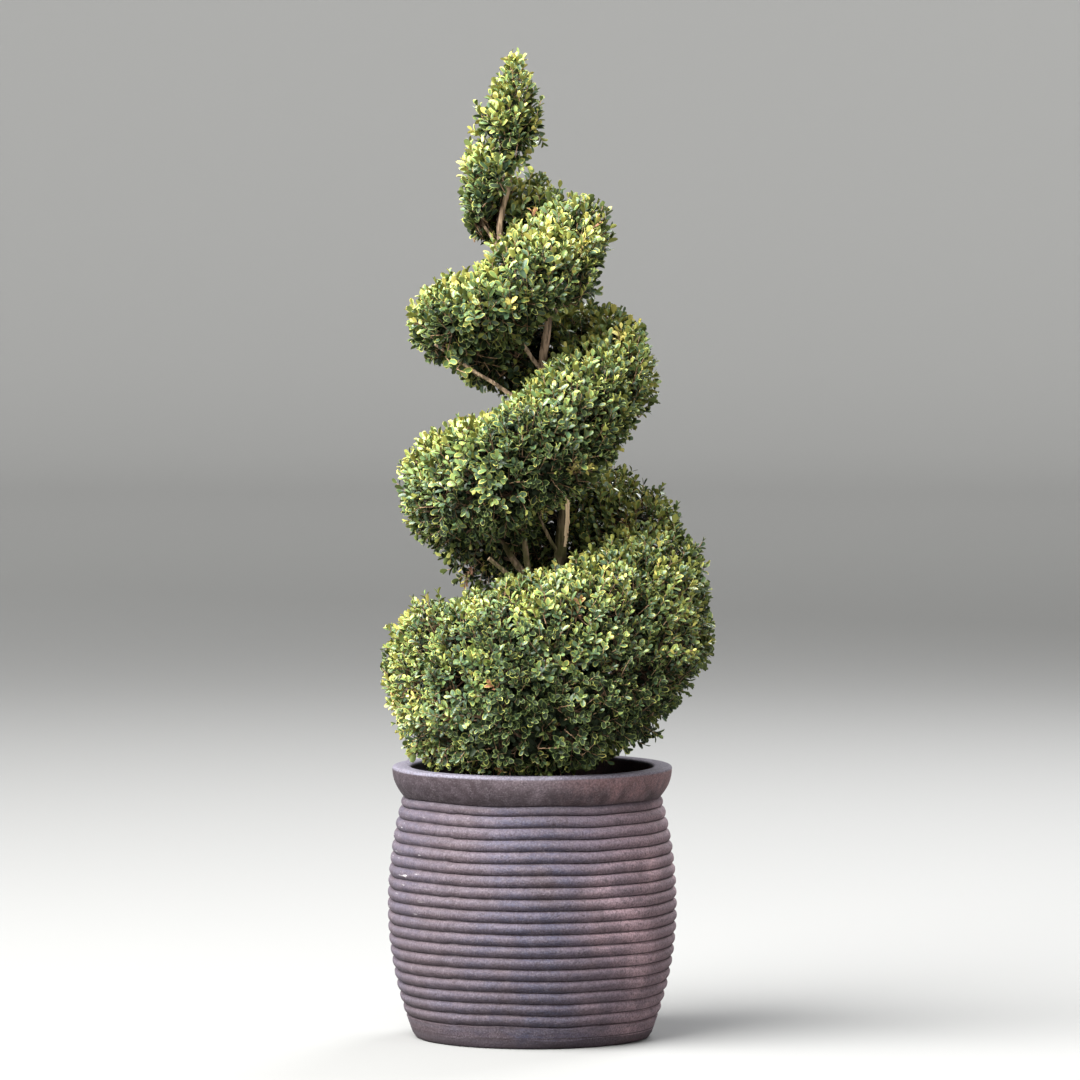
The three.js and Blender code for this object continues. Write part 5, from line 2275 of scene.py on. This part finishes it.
    def joined(self, name: str, leaves: Rows) -> Piece:
        """Places a copy of the leaf at each foot and joins them.

        Args:
            name: the mass's node.
            leaves: the leaves, as leaves gives them.

        Returns:
            The leaves as one object.
        """
        random = self.random
        foot, way, face, size, dealt = (
            leaves[key] for key in ("foot", "way", "face", "size", "tint")
        )
        count = len(foot)
        wide = random.uniform(*self.width_range, count)
        cup = random.uniform(*self.cup_range, count)
        under = self.tinting.under(dealt, random)
        side = np.cross(face, way) * wide[:, None]
        vertices, quads, slots, total = [], [], [], 0
        for make in Make:
            row = np.flatnonzero(leaves["make"] == make.value)
            points, faces, below = self.leaf.pattern(make)
            drop = self.leaf.thickness * below
            lift = (points[:, 2] + drop) * cup[row, None] - drop
            blade = points[None, :, 0:1] * way[row, None] + points[None, :, 1:2] * side[row, None]
            blade = blade + lift[:, :, None] * face[row, None]
            vertices.append((foot[row, None] + blade * size[row, None, None]).reshape(-1, 3))
            shift = np.arange(len(row))[:, None, None] * len(points) + total
            quads.append((faces[None] + shift).reshape(-1, 4))
            lower = below[faces[:, 0]][None]
            slots.append(np.where(lower, under[row, None], dealt[row, None]).ravel())
            total += len(row) * len(points)
        faces = [np.vstack(quads)]
        return shown(f"{name}_leaves", np.vstack(vertices), faces, np.concatenate(slots))

    def wood(self, name: str, mass: Rows, shoots: Rows) -> Piece:
        """Grows the branches, twigs and shoots of one mass on from its limbs.

        Args:
            name: the mass's node.
            mass: its inner nodes.
            shoots: its shoots that bear leaves.

        Returns:
            All of them as one object.
        """
        branches, twigs, limbs = mass["branches"], mass["twigs"], self.room.limb_points
        outer = shoots["sunk"] == 0
        foot, end = shoots["foot"][outer], shoots["end"][outer]
        inmost = shoots["end"][~outer]
        outer_twig = self.nearest(foot, twigs, self.twig_climb)
        inner_twig = self.nearest(inmost, twigs, self.twig_climb)
        twig_branch = self.nearest(twigs, branches, self.twig_climb)
        borne = np.bincount(np.concatenate([outer_twig, inner_twig]), minlength=len(twigs)) > 0
        reached = np.bincount(twig_branch[borne], minlength=len(branches)) > 0
        feet = limbs[self.nearest(branches, limbs, self.branch_climb)]
        vertices, faces, slots, total = [], [], [], 0
        for strand, starts, ends in (
            (BRANCH, feet[reached], branches[reached]),
            (TWIG, branches[twig_branch][borne], twigs[borne]),
            (SIDE_TWIG, twigs[outer_twig], foot),
            (INNER_TWIG, twigs[inner_twig], inmost),
            (SHOOT, foot, end),
        ):
            lines = self.bent(starts, ends, strand)
            radii = np.linspace(strand.thick, strand.thin, strand.points)
            points, quads = tubes(lines, np.broadcast_to(radii, lines.shape[:2]), strand.sides)
            vertices.append(points)
            faces.append(quads + total)
            slots.append(np.full(len(quads), strand.tint.slot()))
            total += len(points)
        return shown(f"{name}_twigs", np.vstack(vertices), faces, np.concatenate(slots))

    def masses(self) -> list[tuple[str, float, float]]:
        """Lists the masses from the ground up.

        Returns:
            The node of each and the turn angles where it starts and ends.
        """
        sides = ("back", "left", "front", "right")
        found = []
        for index in range(len(BAND.low)):
            low = BAND.first_turn + BAND.quarter * index
            high = min(low + BAND.quarter, BAND.last_turn)
            found.append((f"coil_{index // 4 + 1}_{sides[index % 4]}", low, high))
        return [*found, (TIP_NODE, 0, 360)]

    def build(self) -> None:
        """Grows and dresses every mass."""
        leaf_finishes = [tint.material() for tint in LEAF_TINTS]
        wood_finishes = [tint.material() for tint in WOOD_TINTS]
        for name, low, high in self.masses():
            tip = name == TIP_NODE
            mass = self.surface(low, high, tip)
            shoots = self.shoots(mass, tip)
            self.add_sprigs(name, shoots)
            leaves = self.leaves(shoots, tip)
            leafy = np.bincount(leaves["shoot"], minlength=len(shoots["end"])) > 1
            bearing = {key: rows[leafy] for key, rows in shoots.items()}
            log.info("%s: %d shoots, %d inner", name, leafy.sum(), (bearing["sunk"] > 0).sum())
            dress(self.wood(name, mass, bearing), wood_finishes, (name,))
            dress(self.joined(name, leaves), leaf_finishes, (name,))


def hang(thing: Piece, place: Place, aim: Place) -> None:
    """Puts a light or the camera in the scene.

    Args:
        thing: the light or the camera.
        place: where it hangs, in metres.
        aim: the place that it faces.
    """
    thing.location = place
    thing.rotation_euler = (Vector(aim) - Vector(place)).to_track_quat("-Z", "Y").to_euler()
    bpy.context.scene.collection.objects.link(thing)


@dataclass(frozen=True)
class Lamp:
    """One square light: its place, its side in metres, its watts, its colour and what it faces."""

    name: str
    place: Place
    size: float
    power: float
    colour: Colour
    aim: Place = (0, 0, 0.8)

    def light(self) -> None:
        """Hangs the light, which the camera doesn't see."""
        lamp = bpy.data.lights.new(self.name, "AREA")
        lamp.size, lamp.energy, lamp.color = self.size, self.power, self.colour
        made = bpy.data.objects.new(self.name, lamp)
        made.visible_camera = False
        hang(made, self.place, self.aim)


@dataclass
class Studio:
    """The pale floor, the soft lights and the camera, in metres."""

    near_floor: Colour = (0.14, 0.14, 0.14)
    far_floor: Colour = (0.52, 0.52, 0.52)
    floor_roughness: float = 0.9
    floor_gloss: float = 0.5
    floor_reach: float = 15
    floor_bend: float = 6
    floor_rim: Limits = (0.5, 3)
    floor_steps: int = 96
    paler: Limits = (6.5, 17)
    sky: Colour = (1.0, 1.0, 0.98)
    sky_strength: float = 0.07
    camera_place: Place = (-0.2175, -13.2, 1.585)
    camera_aim: Place = (0.012, 0.0, 0.768)
    lens: float = 286
    sensor: float = 36
    sight: float = 100
    lamps: tuple[Lamp, ...] = (
        Lamp("key_light", (-4.4, -3.2, 6.5), 8.0, 6100, (1.0, 1.0, 0.97)),
        Lamp("top_light", (0.8, -0.6, 6.8), 4.0, 150, (0.97, 0.99, 1.0)),
        Lamp("fill_light", (4.8, -4.0, 3.4), 2.6, 190, (1.0, 1.0, 0.98)),
        Lamp("back_light", (2.4, 4.4, 4.6), 3.0, 620, (0.98, 0.99, 1.0)),
        Lamp("wall_light", (-7.0, -5.0, 4.0), 5.0, 1500, (1.0, 1.0, 1.0), (-19.0, -11.0, 5.0)),
    )

    def backdrop(self) -> None:
        """Models the round floor, which curves up far away on every side and is darker nearby."""
        profile = [(self.floor_reach * share, 0.0) for share in (0, 1 / 3, 2 / 3)]
        for angle in range(0, 81, 10):
            out = self.floor_reach + self.floor_bend * math.sin(math.radians(angle))
            profile.append((out, self.floor_bend * (1 - math.cos(math.radians(angle)))))
        profile.append(tuple(end + more for end, more in zip(profile[-1], self.floor_rim)))
        profile = [(radius / MM, height / MM) for radius, height in profile]
        piece = turned("studio_floor", profile, self.floor_steps)
        made, surface = new_material("studio_pale", self.floor_roughness, self.floor_gloss)
        recipe = Recipe(made.node_tree)
        place = recipe.add("ShaderNodeTexCoord").outputs["Object"]
        away = recipe.add("ShaderNodeVectorMath", {"operation": "LENGTH"}, Vector=place)
        paler = recipe.ramp(away.outputs["Value"], *self.paler)
        recipe.feed(surface, "Base Color", recipe.blend(paler, self.near_floor, self.far_floor))
        piece.data.materials.append(made)

    def build(self) -> None:
        """Sets up the floor, the lights, the sky and the camera."""
        self.backdrop()
        for lamp in self.lamps:
            lamp.light()
        scene = bpy.context.scene
        world = bpy.data.worlds.new("sky")
        world.use_nodes = True
        background = world.node_tree.nodes["Background"]
        background.inputs["Color"].default_value = (*self.sky, 1)
        background.inputs["Strength"].default_value = self.sky_strength
        scene.world = world
        scene.view_settings.view_transform = "Standard"
        lens = bpy.data.cameras.new("camera")
        lens.lens, lens.sensor_width, lens.clip_end = self.lens, self.sensor, self.sight
        camera = bpy.data.objects.new("camera", lens)
        hang(camera, self.camera_place, self.camera_aim)
        scene.camera = camera


def main() -> None:
    """Builds the planter, the soil, the limbs, the foliage and the studio, in that order."""
    logging.basicConfig(level=logging.INFO, format="%(name)s: %(message)s")
    for part in (Planter(), SoilFill(), Limbs(), Foliage(), Studio()):
        log.info("%s starts", type(part).__name__)
        part.build()


if __name__ == "__main__":
    main()
